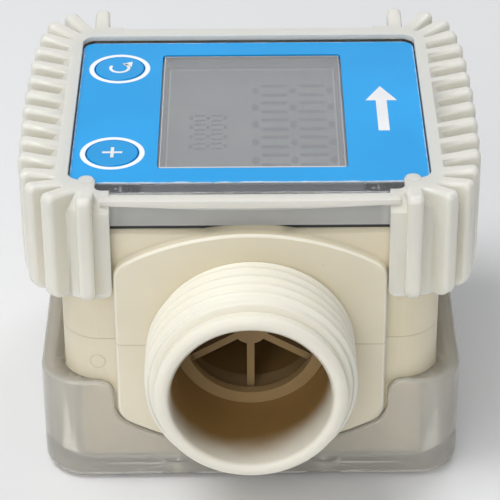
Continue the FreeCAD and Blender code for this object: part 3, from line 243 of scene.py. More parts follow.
def moulded(name, colour, rough=0.45, drift=0.06, **constants):
    """Moulded plastic: slow drift of colour, a fine grain and small handling scuffs."""
    grain, grain_depth = 0.0003, 0.00001
    finish = Finish(name)
    nodes = finish.nodes
    cloud = nodes.noise(finish.place, 0.012, 3.0)
    tint = nodes.mix(cloud.ramp(0.3, 0.7), dimmed(colour, 1 - 2 * drift), colour)
    speck = nodes.noise(finish.place, grain, 3.0, 0.6)
    scuff = nodes.noise(finish.place, 0.0025, 5.0, 0.7).ramp(0.62, 0.75)
    return finish.done(Base_Color=tint, Roughness=speck * 0.12 + scuff * 0.1 + (rough - 0.06),
                       Normal=finish.bump(speck, grain_depth), **constants)


# ---------------------------------------------------------------- mesh helpers

def link(name, mesh):
    """A new object at the origin."""
    piece = bpy.data.objects.new(name, mesh)
    bpy.context.scene.collection.objects.link(piece)
    return piece


def mesh_of(name, work):
    """A mesh made from a bmesh, which is freed."""
    mesh = bpy.data.meshes.new(name)
    work.to_mesh(mesh)
    work.free()
    return mesh


def paint(piece, material):
    """Give a piece one material."""
    piece.data.materials.clear()
    piece.data.materials.append(material)


def paint_node(node, material):
    """Give a CAD node, whose mesh stays as it is, a better material."""
    for place in frame["nodes"][node].material_slots:
        place.material = material


def closed_copy(node, name, dissolve=True):
    """A copy of a CAD node whose loose triangles are joined, and flat ones merged into faces."""
    same_place, same_plane = 2e-6, math.radians(0.3)
    work = bmesh.new()
    work.from_mesh(frame["nodes"][node].data)
    bmesh.ops.remove_doubles(work, verts=work.verts, dist=same_place)
    if dissolve:
        bmesh.ops.dissolve_limit(work, angle_limit=same_plane, verts=work.verts,
                                 edges=work.edges, use_dissolve_boundaries=False)
    return link(name, mesh_of(name, work))


def plain(piece):
    """Turn a piece with live modifiers into a plain mesh."""
    graph = bpy.context.evaluated_depsgraph_get()
    graph.update()
    mesh = bpy.data.meshes.new_from_object(piece.evaluated_get(graph))
    piece.modifiers.clear()
    piece.data = mesh
    return piece


def smooth(piece, angle=32):
    """Smooth shading, sharp over the edges that turn more than angle, and flat on large faces."""
    piece.data.shade_smooth()
    piece.data.set_sharp_from_angle(angle=math.radians(angle))
    weighted = piece.modifiers.new("weighted_normals", "WEIGHTED_NORMAL")
    weighted.keep_sharp = True
    weighted.weight = 100
    return plain(piece)


def eased(piece, width, angle=35, segments=3):
    """Round the edges that turn more than angle."""
    bevel = piece.modifiers.new("eased_edges", "BEVEL")
    bevel.width = width
    bevel.segments = segments
    bevel.limit_method = "ANGLE"
    bevel.angle_limit = math.radians(angle)
    return plain(piece)


def stands_for(piece, node, body):
    """The piece shows in place of a CAD node, and moves with that node's body."""
    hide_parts(node)
    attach(piece, body)


def adds_to(piece, body):
    """A piece that the CAD leaves out."""
    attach(piece, body)


def polygon_mesh(name, outlines, low, high):
    """Flat plates with those outlines, lists of (x, y), standing between two heights."""
    work = bmesh.new()
    for outline in outlines:
        foot, top = [[work.verts.new((x, y, z)) for x, y in outline] for z in (low, high)]
        work.faces.new(foot[::-1])
        work.faces.new(top)
        for i, corner in enumerate(foot):
            j = (i + 1) % len(foot)
            work.faces.new([corner, foot[j], top[j], top[i]])
    bmesh.ops.recalc_face_normals(work, faces=work.faces)
    return mesh_of(name, work)


def rectangle(x, y, half_x, half_y):
    """Outline of a rectangle about (x, y)."""
    return [(x + side * half_x, y + end * half_y)
            for side, end in ((-1, -1), (1, -1), (1, 1), (-1, 1))]


def turned_mesh(name, profile, steps=96):
    """A closed profile of (radius, y) turned round the pipe's axis."""
    work = bmesh.new()
    rings = []
    for step in range(steps):
        turn = 2 * math.pi * step / steps
        rings.append([work.verts.new((radius * math.cos(turn), y, AXIS + radius * math.sin(turn)))
                      for radius, y in profile])
    for step, near in enumerate(rings):
        far = rings[(step + 1) % steps]
        for i in range(len(profile)):
            j = (i + 1) % len(profile)
            work.faces.new([near[i], near[j], far[j], far[i]])
    bmesh.ops.recalc_face_normals(work, faces=work.faces)
    return mesh_of(name, work)


def arc(x, y, radius, start, end, steps=28):
    """Points along an arc about (x, y), angles in degrees."""
    turns = [math.radians(start + (end - start) * i / steps) for i in range(steps + 1)]
    return [(x + radius * math.cos(turn), y + radius * math.sin(turn)) for turn in turns]


# ---------------------------------------------------------------- geometry nodes

def new_tree(name, inputs):
    """A Geometry Nodes tree with those named inputs, a Nodes builder on it, and the input wires."""
    tree = bpy.data.node_groups.new(name, "GeometryNodeTree")
    tree.interface.new_socket("Geometry", in_out="INPUT", socket_type="NodeSocketGeometry")
    for label, kind in inputs.items():
        tree.interface.new_socket(label, in_out="INPUT", socket_type=kind)
    tree.interface.new_socket("Geometry", in_out="OUTPUT", socket_type="NodeSocketGeometry")
    nodes = Nodes(tree)
    source = tree.nodes.new("NodeGroupInput")
    wires = {item.name: Wire(nodes, item) for item in source.outputs if item.name}
    return tree, nodes, wires


def close_tree(nodes, geometry, material):
    """Realize, give the material, and lead to the output."""
    real = nodes.add("GeometryNodeRealizeInstances", None, [geometry])
    painted = nodes.add("GeometryNodeSetMaterial", None, {"Geometry": real, "Material": None})
    painted.socket.node.inputs["Material"].default_value = material
    nodes.add("NodeGroupOutput", None, [painted])


def grown(name, tree, values, mesh=None):
    """A plain mesh grown by a tree with those input values."""
    piece = link(name, mesh or bpy.data.meshes.new(name))
    modifier = piece.modifiers.new(name, "NODES")
    modifier.node_group = tree
    for item in tree.interface.items_tree:
        if item.in_out == "INPUT" and item.name in values:
            modifier[item.identifier] = values[item.name]
    return plain(piece)


def thread_tree(material):
    """A screw thread: a grid bent round the pipe, raised into a ridge that winds along it."""
    names = ["Root", "Crest", "Pitch", "Start", "Length"]
    steps_round, steps_along = 168, 140
    tree, nodes, given = new_tree("pipe_thread", {label: "NodeSocketFloat" for label in names})
    grid = nodes.add("GeometryNodeMeshGrid", None, [1.0, 1.0, steps_round + 1, steps_along + 1])
    x, y, _ = nodes.split(nodes.add("GeometryNodeInputPosition"))
    turn = (x + 0.5) * (2 * math.pi)
    along = (y + 0.5) * given["Length"]
    phase = (along / given["Pitch"] - (x + 0.5)).math("FRACT")
    # triangular ridge with a rounded crest and root
    ridge = (1.0 - (phase - 0.5).absolute() * 2.0).ramp(0.08, 0.92)
    run_out = 0.05
    ends = (y + 0.5).ramp(0.0, run_out) * (0.5 - y).ramp(0.0, run_out)
    radius = given["Root"] + (given["Crest"] - given["Root"]) * ridge * ends
    place = nodes.add("ShaderNodeCombineXYZ", None,
                      [radius * turn.math("COSINE"), given["Start"] + along,
                       radius * turn.math("SINE") + AXIS])
    bent = nodes.add("GeometryNodeSetPosition", None, {"Geometry": grid, "Position": place})
    joined = nodes.add("GeometryNodeMergeByDistance", None, {"Geometry": bent, "Distance": 1e-6})
    shaded = nodes.add("GeometryNodeSetShadeSmooth", None, [joined])
    close_tree(nodes, shaded, material)
    return tree


# ---------------------------------------------------------------- finishes

def cream_nylon(settings):
    """Moulded cream body: painted brown shade deep in the bore, a painted highlight on the flange's
    chamfer, mould line, faint flow marks.
    """
    finish = Finish("cream_nylon")
    nodes = finish.nodes
    colour = tuple(settings.body_colour)
    cloud = nodes.noise(finish.place, 0.018, 3.0)
    tint = nodes.mix(cloud.ramp(0.35, 0.7), dimmed(colour, 0.93, 0.92, 0.88), colour)
    speck = nodes.noise(finish.place, 0.0006, 2.0)
    fleck = nodes.noise(finish.place, 0.0009, 1.0).ramp(0.76, 0.82)
    tint = nodes.mix(fleck * 0.18, tint, (0.30, 0.26, 0.19))
    up = finish.z - AXIS
    radius = span(finish.x, up)
    along = finish.y.absolute()

    # the bore: within 12.6 mm of the axis; painted brown shade where it is deeper than the mouth, its
    # edge wobbling and slanting across like a cast shadow's
    shade_wobble = (nodes.noise(finish.place, 0.01, 2.0) - 0.5) * 0.004
    slant = finish.x * 0.16
    deep = (along + shade_wobble + slant).fall(0.0375, 0.0455)
    bore_shade = radius.fall(0.0126, 0.0131) * (deep * 0.94 + 0.06)
    # the warm brown mixed in here is painted shade
    tint = nodes.mix(bore_shade, tint, (0.30, 0.175, 0.055))

    # paler spigots, beyond the flanges' faces
    spigot = along.ramp(0.0300, 0.0312) * (1.0 - bore_shade)
    tint = nodes.mix(spigot * 0.6, tint, (0.86, 0.85, 0.78))

    # painted highlight on the chamfer round the flange's face
    chamfer_highlight = along.ramp(0.02988, 0.02996) * along.fall(0.03026, 0.03036) * (radius > 0.0192)
    tint = nodes.mix(chamfer_highlight * 0.55, tint, (0.95, 0.93, 0.84))

    # the mould's parting line, level with the axis, outside and short of the threads
    line = up.line(0.0, 0.00004, 0.00012) * (radius > 0.0145) * along.fall(0.0304, 0.0305)
    tint = nodes.mix(line * 0.35, tint, (0.38, 0.33, 0.24))

    # faint witness ring of an ejector pin on the front, left of the flange
    pin_x, pin_up, pin_radius = -0.0246, -0.0044, 0.0012
    witness = span(finish.x - pin_x, up - pin_up).line(pin_radius, 0.00006, 0.00016)
    witness = witness * (finish.y < -0.02)
    tint = nodes.mix(witness * 0.2, tint, (0.38, 0.34, 0.26))

    grain = finish.bump(speck, 0.00002)
    seam = finish.bump(line + witness, 0.00006, grain)
    rough = nodes.noise(finish.place, 0.004, 4.0)
    return finish.done(Base_Color=tint, Roughness=rough * 0.2 + 0.36, Normal=seam,
                       Subsurface_Weight=0.15, Subsurface_Radius=(1.0, 0.7, 0.4),
                       Subsurface_Scale=0.001, IOR=1.5)


def hazy_cover(settings):
    """Thick clear cover with a warm haze, soft moulding waves and fine scratches."""
    finish = Finish("hazy_cover")
    nodes = finish.nodes
    wave = nodes.noise(finish.place, 0.009, 2.0)
    scratch = nodes.noise(finish.place, 0.0012, 6.0, 0.75).ramp(0.62, 0.72)
    colour = tuple(settings.cover_colour)
    tint = nodes.mix(wave, dimmed(colour, 0.95), colour)
    return finish.done(Base_Color=tint, Roughness=scratch * 0.12 + 0.10,
                       Normal=finish.bump(wave, 0.00004), Transmission_Weight=0.70, IOR=1.46)


def polished_clear(finish, colour, rough):
    """Shader of scratched clear plastic."""
    scratch = finish.nodes.noise(finish.place, 0.0012, 6.0, 0.75).ramp(0.64, 0.74)
    return finish.shader(Base_Color=colour, Roughness=scratch * 0.1 + rough,
                         Transmission_Weight=0.97, IOR=1.49)


def display_clear():
    """Polished clear plastic, frosted on the outside of the walls."""
    finish = Finish("display_clear")
    nodes = finish.nodes
    clear = polished_clear(finish, (0.88, 0.92, 0.97), 0.05)
    cloud = nodes.noise(finish.place, 0.006, 2.0)
    tone = nodes.mix(cloud, (0.60, 0.60, 0.585), (0.70, 0.70, 0.68))

    # on the front wall: a lit edge that sags as the boot's strap does, and cloudy ends
    low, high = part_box("display_housing")
    front = (finish.y - low[1]).fall(0.0002, 0.0004)
    edge_height, edge_bow = AXIS + 0.0232, 2.2
    out = finish.x.absolute()
    lit = (finish.z - finish.x * finish.x * edge_bow).line(edge_height, 0.00005, 0.00014)
    lit = lit * out.fall(0.0198, 0.0205) * front * 0.8
    ends = out.ramp(0.0200, 0.0213) * out.fall(0.0222, 0.0234) * front * 0.5
    tone = nodes.mix(lit.either(ends), tone, (0.97, 0.97, 0.96))
    frosted = finish.shader(Base_Color=tone, Roughness=0.38, Transmission_Weight=0.3, IOR=1.49)

    # the top stays polished, and 0.9 mm below it the frosting begins
    walls = finish.inset(low, high).fall(0.0003, 0.0006)
    below = finish.z.fall(high[2] - 0.0009, high[2] - 0.0006)
    return finish.between(walls * below * 0.85, clear, frosted)


def window_clear(low, high):
    """Clear pane with a pale edge."""
    finish = Finish("window_clear")
    clear = polished_clear(finish, (0.95, 0.95, 0.94), 0.06)
    pale = finish.shader(Base_Color=(0.72, 0.71, 0.73), Roughness=0.3)
    edge = finish.inset(low, high).fall(0.00012, 0.0002)
    return finish.between(edge * 0.8, clear, pale)


def printed_film(settings):
    """Blue label film: white rings round the buttons, worn pale edge, satin coat."""
    finish = Finish("printed_film")
    nodes = finish.nodes
    colour = tuple(settings.label_colour)
    fade = nodes.noise(finish.place, 0.02, 2.0)
    tint = nodes.mix(fade.ramp(0.3, 0.8), colour, [min(1.0, part * 1.1 + 0.004) for part in colour])
    inner, outer, soft = settings.ring_inner, settings.ring_outer, 0.00012
    for button in BUTTONS:
        centre = middle(button)
        radius = span(finish.x - centre.x, finish.y - centre.y)
        ring = radius.ramp(inner, inner + soft) * radius.fall(outer - soft, outer)
        tint = nodes.mix(ring, tint, (0.86, 0.87, 0.88))

    # pale cut edge, most worn along the front
    low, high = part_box("display_label")
    wander = (nodes.noise(finish.place, 0.0022, 3.0) - 0.5) * 0.0006
    edge = (finish.inset(low, high) + wander).fall(0.00004, 0.00024)
    front = (finish.y - low[1]).fall(0.0008, 0.0030)
    tint = nodes.mix(edge * (front * 0.5 + 0.35), tint, (0.80, 0.84, 0.86))
    speck = nodes.noise(finish.place, 0.0004, 2.0)
    return finish.done(Base_Color=tint, Roughness=speck * 0.1 + 0.32,
                       Normal=finish.bump(speck, 0.000006), **SATIN_FILM)


def display_glass():
    """Reflective grey liquid crystal glass: soft mottle, darker margin ended by a pale line."""
    finish = Finish("display_glass")
    nodes = finish.nodes
    cloud = nodes.noise(finish.place, 0.011, 2.0)
    tint = nodes.mix(cloud.ramp(0.3, 0.7), (0.25, 0.25, 0.255), (0.325, 0.315, 0.30))
    rear = finish.y.ramp(0.004, 0.019)
    tint = nodes.mix(rear * 0.7, tint, (0.15, 0.15, 0.20))
    margin = 0.0025
    inset = finish.inset(*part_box("lcd_panel"))
    tint = nodes.mix(inset.fall(margin - 0.00005, margin + 0.00005) * 0.8, tint, (0.14, 0.12, 0.155))
    tint = nodes.mix(inset.line(margin, 0.00006, 0.00016) * 0.8, tint, (0.66, 0.65, 0.64))
    return finish.done(Base_Color=tint, Roughness=cloud * 0.1 + 0.35)


def soft_boot(settings):
    """Translucent soft elastomer: milky, waxy, with painted shade towards the top and a painted
    highlight along its lower edge.
    """
    finish = Finish("soft_boot")
    nodes = finish.nodes
    colour = tuple(settings.boot_colour)
    low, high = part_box("protective_boot")
    cloud = nodes.noise(finish.place, 0.008, 3.0)
    # painted shade: the boot's colour darker and cooler towards the top
    top_shade = finish.z.ramp(low[2], high[2] - 0.002)
    tint = nodes.mix(top_shade, colour, dimmed(colour, 0.88, 0.90, 0.92))
    tint = nodes.mix(cloud.ramp(0.4, 0.8) * 0.3, tint, dimmed(colour, 0.9))
    # painted highlight: near-white along the boot's lower edge
    lower_edge_highlight = finish.z.fall(low[2] + 0.0002, low[2] + 0.0008)
    tint = nodes.mix(lower_edge_highlight * 0.7, tint, (1.0, 0.99, 0.95))
    ripple = nodes.noise(finish.place, 0.005, 1.0)
    return finish.done(Base_Color=tint, Roughness=cloud * 0.1 + 0.40,
                       Normal=finish.bump(ripple, 0.0001), IOR=1.36, Coat_Weight=0.6,
                       Coat_Roughness=0.16, Transmission_Weight=0.27, Subsurface_Weight=0.55,
                       Subsurface_Radius=(1.0, 0.93, 0.8), Subsurface_Scale=0.0035)


def worked_steel(name, colour, rough=0.28):
    """Bright steel with fine turning marks."""
    finish = Finish(name)
    nodes = finish.nodes
    marks = nodes.noise(finish.place, 0.0002, 4.0)
    smear = nodes.noise(finish.place, 0.002, 3.0)
    tint = nodes.mix(smear, dimmed(colour, 0.85), colour)
    return finish.done(Base_Color=tint, Metallic=1.0, Roughness=marks * 0.2 + (rough - 0.08),
                       Normal=finish.bump(marks, 0.000004))


def solder_mask():
    """Green board with paler tracks under the mask."""
    finish = Finish("solder_mask")
    nodes = finish.nodes
    tracks_per_metre = 420.0
    cells = nodes.add("ShaderNodeTexVoronoi", {"feature": "DISTANCE_TO_EDGE"},
                      {"Vector": finish.place, "Scale": tracks_per_metre})
    track = cells.fall(0.02, 0.06)
    tint = nodes.mix(track, (0.012, 0.10, 0.035), (0.03, 0.20, 0.07))
    return finish.done(Base_Color=tint, Roughness=0.35, Normal=finish.bump(track, 0.00002))


def cell_sleeve(node):
    """Printed shrink sleeve: dark body, copper band at the positive end, bare steel ends."""
    finish = Finish("sleeve_of_" + node)
    nodes = finish.nodes
    low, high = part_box(node)
    toward = 1 if node.endswith("right") else -1
    along = (finish.y - (low[1] + high[1]) / 2) * toward
    half = (high[1] - low[1]) / 2
    band = along.ramp(half * 0.42, half * 0.43)
    shoulder = along.ramp(half - 0.0019, half - 0.0018)
    foot = along.fall(0.0007 - half, 0.0008 - half)
    bare = shoulder.either(foot)
    tint = nodes.mix(band, (0.015, 0.015, 0.018), (0.50, 0.24, 0.09))
    tint = nodes.mix(bare, tint, (0.62, 0.62, 0.60))
    crease = nodes.noise(finish.place, 0.0016, 4.0)
    return finish.done(Base_Color=tint, Metallic=bare * 0.9 + band * 0.08,
                       Roughness=crease * 0.12 + 0.2, Normal=finish.bump(crease, 0.00002))


# ---------------------------------------------------------------- settings

class FlowMeterSettings(bpy.types.PropertyGroup):
    """Sizes and colours of the dressed meter."""

    body_colour: bpy.props.FloatVectorProperty(
        name="Body", description="Moulded body", subtype="COLOR", size=3, min=0, max=1,
        default=(0.745, 0.675, 0.515))
    boot_colour: bpy.props.FloatVectorProperty(
        name="Boot", description="Soft protective boot", subtype="COLOR", size=3, min=0, max=1,
        default=(0.97, 0.925, 0.815))
    cover_colour: bpy.props.FloatVectorProperty(
        name="Cover", description="Clear lower cover", subtype="COLOR", size=3, min=0, max=1,
        default=(0.94, 0.905, 0.82))
    label_colour: bpy.props.FloatVectorProperty(
        name="Label", description="Printed label and buttons", subtype="COLOR", size=3, min=0, max=1,
        default=(0.0, 0.305, 0.70))
    thread_pitch: bpy.props.FloatProperty(
        name="Thread pitch", description="Pitch of the pipe threads", unit="LENGTH", default=0.002309,
        min=0.001, max=0.004, precision=6)
    thread_root: bpy.props.FloatProperty(
        name="Thread root", description="Radius at the root of the threads", unit="LENGTH",
        default=0.01600, min=0.0145, max=0.0164, precision=5)
    ring_inner: bpy.props.FloatProperty(
        name="Ring inside", description="Inner radius of the printed rings", unit="LENGTH",
        default=0.0043, min=0.002, max=0.006, precision=4)
    ring_outer: bpy.props.FloatProperty(
        name="Ring outside", description="Outer radius of the printed rings", unit="LENGTH",
        default=0.0052, min=0.002, max=0.008, precision=4)


# ---------------------------------------------------------------- operators

class FLOWMETER_OT_body(bpy.types.Operator):
    """Moulded body with its two threaded ends"""

    bl_idname = "flowmeter.body"
    bl_label = "Body and Threads"

    def execute(self, context):
        settings = context.scene.flow_meter
        nylon = cream_nylon(settings)
        crest = THREAD["dims"]["r_mm"] * MM
        half = THREAD["dims"]["length_mm"] * MM / 2
        centre = abs(THREAD["pos_m"][1])
        body = closed_copy("meter_body", "body_moulding", dissolve=False)
        self.lower_lands(body, crest, centre, half, settings.thread_root)
        smooth(body)
        paint(body, nylon)
        stands_for(body, "meter_body", HOUSING)

        tree = thread_tree(nylon)
        sunk = 0.00005
        values = {"Root": settings.thread_root - sunk, "Crest": crest,
                  "Pitch": settings.thread_pitch, "Length": 2 * half}
        for name, start in (("inlet_thread", -centre - half), ("outlet_thread", centre - half)):
            thread = grown(name, tree, {**values, "Start": start})
            adds_to(thread, HOUSING)
        return {"FINISHED"}

    @staticmethod
    def lower_lands(body, crest, centre, half, root):
        """Bring the cylinders over the threads' crests down to their root."""
        radial_slack, end_slack = 2e-5, 1e-4
        for corner in body.data.vertices:
            x, y, z = corner.co
            radius = math.hypot(x, z - AXIS)
            if abs(radius - crest) < radial_slack and abs(abs(y) - centre) < half + end_slack:
                shrink = root / radius
                corner.co = (x * shrink, y, AXIS + (z - AXIS) * shrink)


class FLOWMETER_OT_lower_cover(bpy.types.Operator):
    """Clear lower cover and both gaskets"""

    bl_idname = "flowmeter.lower_cover"
    bl_label = "Lower Cover"

    def execute(self, context):
        settings = context.scene.flow_meter
        cover = closed_copy("lower_cover", "clear_lower_cover", dissolve=False)
        smooth(cover)
        paint(cover, hazy_cover(settings))
        stands_for(cover, "lower_cover", HOUSING)
        rubber = moulded("dark_seal", (0.035, 0.04, 0.042), rough=0.5)
        for node in ("lower_cover_gasket", "housing_gasket"):
            paint_node(node, rubber)
        return {"FINISHED"}


class FLOWMETER_OT_display(bpy.types.Operator):
    """Clear display housing, printed label, display glass and its faint digits"""

    bl_idname = "flowmeter.display"
    bl_label = "Display Head"

    def execute(self, context):
        settings = context.scene.flow_meter
        head = closed_copy("display_housing", "clear_display_housing")
        smooth(head)
        paint(head, display_clear())
        stands_for(head, "display_housing", HOUSING)
        paint_node("display_label", printed_film(settings))
        paint_node("lcd_panel", display_glass())
        paint_node("lcd_frame", moulded("frame_moulding", (0.46, 0.46, 0.47), rough=0.4))
        self.window()
        self.digits()
        self.flow_arrow()
        return {"FINISHED"}

    @staticmethod
    def window():
        """Raised pane of the housing inside the label's window."""
        centre, face = middle("lcd_panel"), top_of("display_label")
        half_x, half_y = 0.01478, 0.01882
        foot, sunk, round_edge = 0.00049, 0.00005, 0.0002
        outline = rectangle(centre.x, centre.y, half_x, half_y)
        pane = link("window_pane", polygon_mesh("window_pane", [outline], face - foot, face - sunk))
        smooth(eased(pane, round_edge), 50)
        paint(pane, window_clear(outline[0], outline[2]))
        adds_to(pane, HOUSING)

    def digits(self):
        """Unlit seven-segment digits, which read from the buttons' side of the meter."""
        centre, face = middle("lcd_panel"), top_of("lcd_panel")
        unlit = moulded("unlit_segments", (0.12, 0.12, 0.15), rough=0.4)
        # each row: name, middle from the glass's, height, pitch and count of its digits
        rows = [("large_digits", (0.0068, -0.0015), 0.0125, 0.0058, 5),
                ("small_digits", (-0.0072, -0.0039), 0.0056, 0.0031, 4)]
        width_in_pitch = 0.74
        for name, (across, along), height, pitch, count in rows:
            outlines = []
            for place in range(count):
                y = centre.y + along - (place - (count - 1) / 2) * pitch
                outlines += self.segments(centre.x + across, y, height, pitch * width_in_pitch)
            plates = link(name, polygon_mesh(name, outlines, face + 0.00001, face + 0.00004))
            paint(plates, unlit)
            adds_to(plates, HOUSING)

    @staticmethod
    def segments(x, y, height, width):
        """The seven pointed bars of one digit, whose upper end points to +X."""
        thick = width * 0.27
        half = height / 2
        flat_bar = width - thick * 1.4
        upright_bar = half - thick * 1.2
        bars = [(x + up, y, thick, flat_bar) for up in (-half, 0.0, half)]
        for side in (-1, 1):
            for up in (-half / 2, half / 2):
                bars.append((x + up, y + side * (width - thick) / 2, upright_bar, thick))
        outlines = []
        for mid_x, mid_y, long_x, long_y in bars:
            a, b = long_x / 2, long_y / 2
            tip = min(a, b)
            if a > b:
                shape = [(-a, 0), (-a + tip, -b), (a - tip, -b), (a, 0), (a - tip, b), (-a + tip, b)]
            else:
                shape = [(0, -b), (a, -b + tip), (a, b - tip), (0, b), (-a, b - tip), (-a, -b + tip)]
            outlines.append([(mid_x + dx, mid_y + dy) for dx, dy in shape])
        return outlines

    @staticmethod
    def flow_arrow():
        """A plain printed arrow that shows which way the liquid runs."""
        face = top_of("display_label")
        x, shaft, head, tip = 0.0218, 0.0009, 0.0026, 0.0075
        neck = tip * 0.35
        outline = [(x - shaft, -tip), (x + shaft, -tip), (x + shaft, neck), (x + head, neck),
                   (x, tip), (x - head, neck), (x - shaft, neck)]
        arrow = link("flow_arrow", polygon_mesh("flow_arrow", [outline], face, face + PRINT_RISE))
        paint(arrow, moulded("white_print", PRINT_WHITE, rough=0.35))
        adds_to(arrow, HOUSING)


class FLOWMETER_OT_buttons(bpy.types.Operator):
    """Two button caps with plain printed marks: a circular arrow and a plus"""

    bl_idname = "flowmeter.buttons"
    bl_label = "Buttons"

    def execute(self, context):
        settings = context.scene.flow_meter
        blue = moulded("button_film", tuple(settings.label_colour), rough=0.34, drift=0.03,
                       **SATIN_FILM)
        white = moulded("button_print", PRINT_WHITE, rough=0.35)
        for node, marks in zip(BUTTONS, (self.turn_back, self.plus)):
            cap = closed_copy(node, node + "_cap")
            smooth(cap)
            paint(cap, blue)
            stands_for(cap, node, node)
            centre, face = middle(node), top_of(node)
            name = node + "_mark"
            outlines = marks(centre.x, centre.y)
            mark = link(name, polygon_mesh(name, outlines, face, face + PRINT_RISE))
            paint(mark, white)
            adds_to(mark, node)
        return {"FINISHED"}

    @staticmethod
    def turn_back(x, y):
        """Outlines of a circular arrow: three quarters of a ring, and its head."""
        inner, outer, start, end = 0.0013, 0.0018, 150, 420
        ring = arc(x, y, outer, start, end) + arc(x, y, inner, start, end)[::-1]
        head = [(x + 0.0004, y + 0.0015), (x + 0.0020, y + 0.0004), (x + 0.0021, y + 0.0022)]
        return [ring, head]

    @staticmethod
    def plus(x, y):
        """Outlines of a plus: one long bar, and the two halves of the other."""
        arm, thin = 0.0016, 0.00026
        off, half = (arm + thin) / 2, (arm - thin) / 2
        return [rectangle(x, y, arm, thin), rectangle(x, y + off, thin, half),
                rectangle(x, y - off, thin, half)]


class FLOWMETER_OT_electronics(bpy.types.Operator):
    """Circuit board, its parts, and the two cells with their contacts"""

    bl_idname = "flowmeter.electronics"
    bl_label = "Electronics"

    def execute(self, context):
        paint_node("circuit_board", solder_mask())
        black = moulded("component_black", (0.02, 0.02, 0.021), rough=0.4)
        for node in ("microcontroller", "reset_switch", "cal_switch", "pickup_sensor"):
            paint_node(node, black)
        for node in ("battery_cell_right", "battery_cell_left"):
            cell = closed_copy(node, node + "_sleeved")
            smooth(cell)
            paint(cell, cell_sleeve(node))
            stands_for(cell, node, HOUSING)
        plated = worked_steel("nickel_plate", (0.72, 0.71, 0.68), 0.22)
        for node in ("battery_contacts", "battery_springs"):
            paint_node(node, plated)
        return {"FINISHED"}


class FLOWMETER_OT_rotor(bpy.types.Operator):
    """Bladed rotor with its shaft and magnets, between the two flow straighteners"""

    bl_idname = "flowmeter.rotor"
    bl_label = "Rotor and Straighteners"

    def execute(self, context):
        black = moulded("rotor_moulding", (0.035, 0.035, 0.038), rough=0.4)
        tan = moulded("straightener_moulding", (0.40, 0.275, 0.13), rough=0.42,
                      Subsurface_Weight=0.2, Subsurface_Radius=(1.0, 0.7, 0.4), Subsurface_Scale=0.001)
        rotor = closed_copy("turbine_rotor", "bladed_rotor")
        smooth(rotor, 40)
        paint(rotor, black)
        stands_for(rotor, "turbine_rotor", "rotor")
        paint_node("rotor_shaft", worked_steel("ground_steel", (0.70, 0.70, 0.70), 0.2))
        paint_node("rotor_magnets", worked_steel("magnet_plate", (0.72, 0.72, 0.72), 0.2))
        for node in ("inlet_spider", "outlet_spider"):
            spider = closed_copy(node, node + "_moulding")
            smooth(spider)
            paint(spider, tan)
            stands_for(spider, node, HOUSING)
            collar = self.collar(node)
            smooth(collar)
            paint(collar, tan)
            adds_to(collar, HOUSING)
        bush = moulded("bush_polymer", (0.26, 0.22, 0.16), rough=0.35)
        for node in ("inlet_bush", "outlet_bush"):
            paint_node(node, bush)
        return {"FINISHED"}

    @staticmethod
    def collar(node):
        """Broad front edge of a straightener's ring: a turned profile."""
        low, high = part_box(node)
        side = -1 if node == "inlet_spider" else 1
        face = max(-low[1], high[1])
        depth, proud, sunk = 0.0016, 0.00003, 0.00002
        front, back = side * (face + proud), side * (face - depth)
        outer, inner = (high[0] - low[0]) / 2 - sunk, 0.0104
        profile = [(inner, back), (inner, front), (outer, front), (outer, back)]
        return link(node + "_collar", turned_mesh(node + "_collar", profile))


class FLOWMETER_OT_screws(bpy.types.Operator):
    """Screws of the housing, the lower cover and the board, with cross recesses"""

    bl_idname = "flowmeter.screws"
    bl_label = "Screws"

    def execute(self, context):
        steel = worked_steel("screw_steel", (0.62, 0.62, 0.61))
        for node, (head, below, reach) in SCREWS.items():
            screws = closed_copy(node, node + "_recessed", dissolve=False)
            low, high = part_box(node)
            face = low[2] if below else high[2]
            spots = [(x, y) for x in (low[0] + head, high[0] - head)
                     for y in (low[1] + head, high[1] - head)]
            self.recess(screws, spots, face, reach)
            smooth(screws)
            paint(screws, steel)
            stands_for(screws, node, HOUSING)
        return {"FINISHED"}

    @staticmethod
    def recess(screws, spots, face, reach):
        """Cut a cross 0.7 mm deep into the head at each spot."""
        # the second bar is a little taller, so that no two faces of the cutter lie in one plane
        bars = [(reach, CROSS_HALF_WIDTH, 0.0014), (CROSS_HALF_WIDTH, reach, 0.00141)]
        work = bmesh.new()
        for x, y in spots:
            for half_x, half_y, tall in bars:
                made = bmesh.ops.create_cube(work, size=1.0)["verts"]
                bmesh.ops.scale(work, vec=(2 * half_x, 2 * half_y, tall), verts=made)
                bmesh.ops.translate(work, vec=(x, y, face), verts=made)
        cutter = link("cross_cutter", mesh_of("cross_cutter", work))
        carve = screws.modifiers.new("cross_recess", "BOOLEAN")
        carve.operation = "DIFFERENCE"
        carve.solver = "EXACT"
        carve.use_self = True
        carve.object = cutter
        plain(screws)
        bpy.data.objects.remove(cutter)


class FLOWMETER_OT_boot(bpy.types.Operator):
    """Soft boot with its comb of grip fins"""

    bl_idname = "flowmeter.boot"
    bl_label = "Protective Boot"

    def execute(self, context):
        boot = closed_copy("protective_boot", "soft_boot")
        smooth(boot, 40)
        paint(boot, soft_boot(context.scene.flow_meter))
        stands_for(boot, "protective_boot", HOUSING)
        return {"FINISHED"}


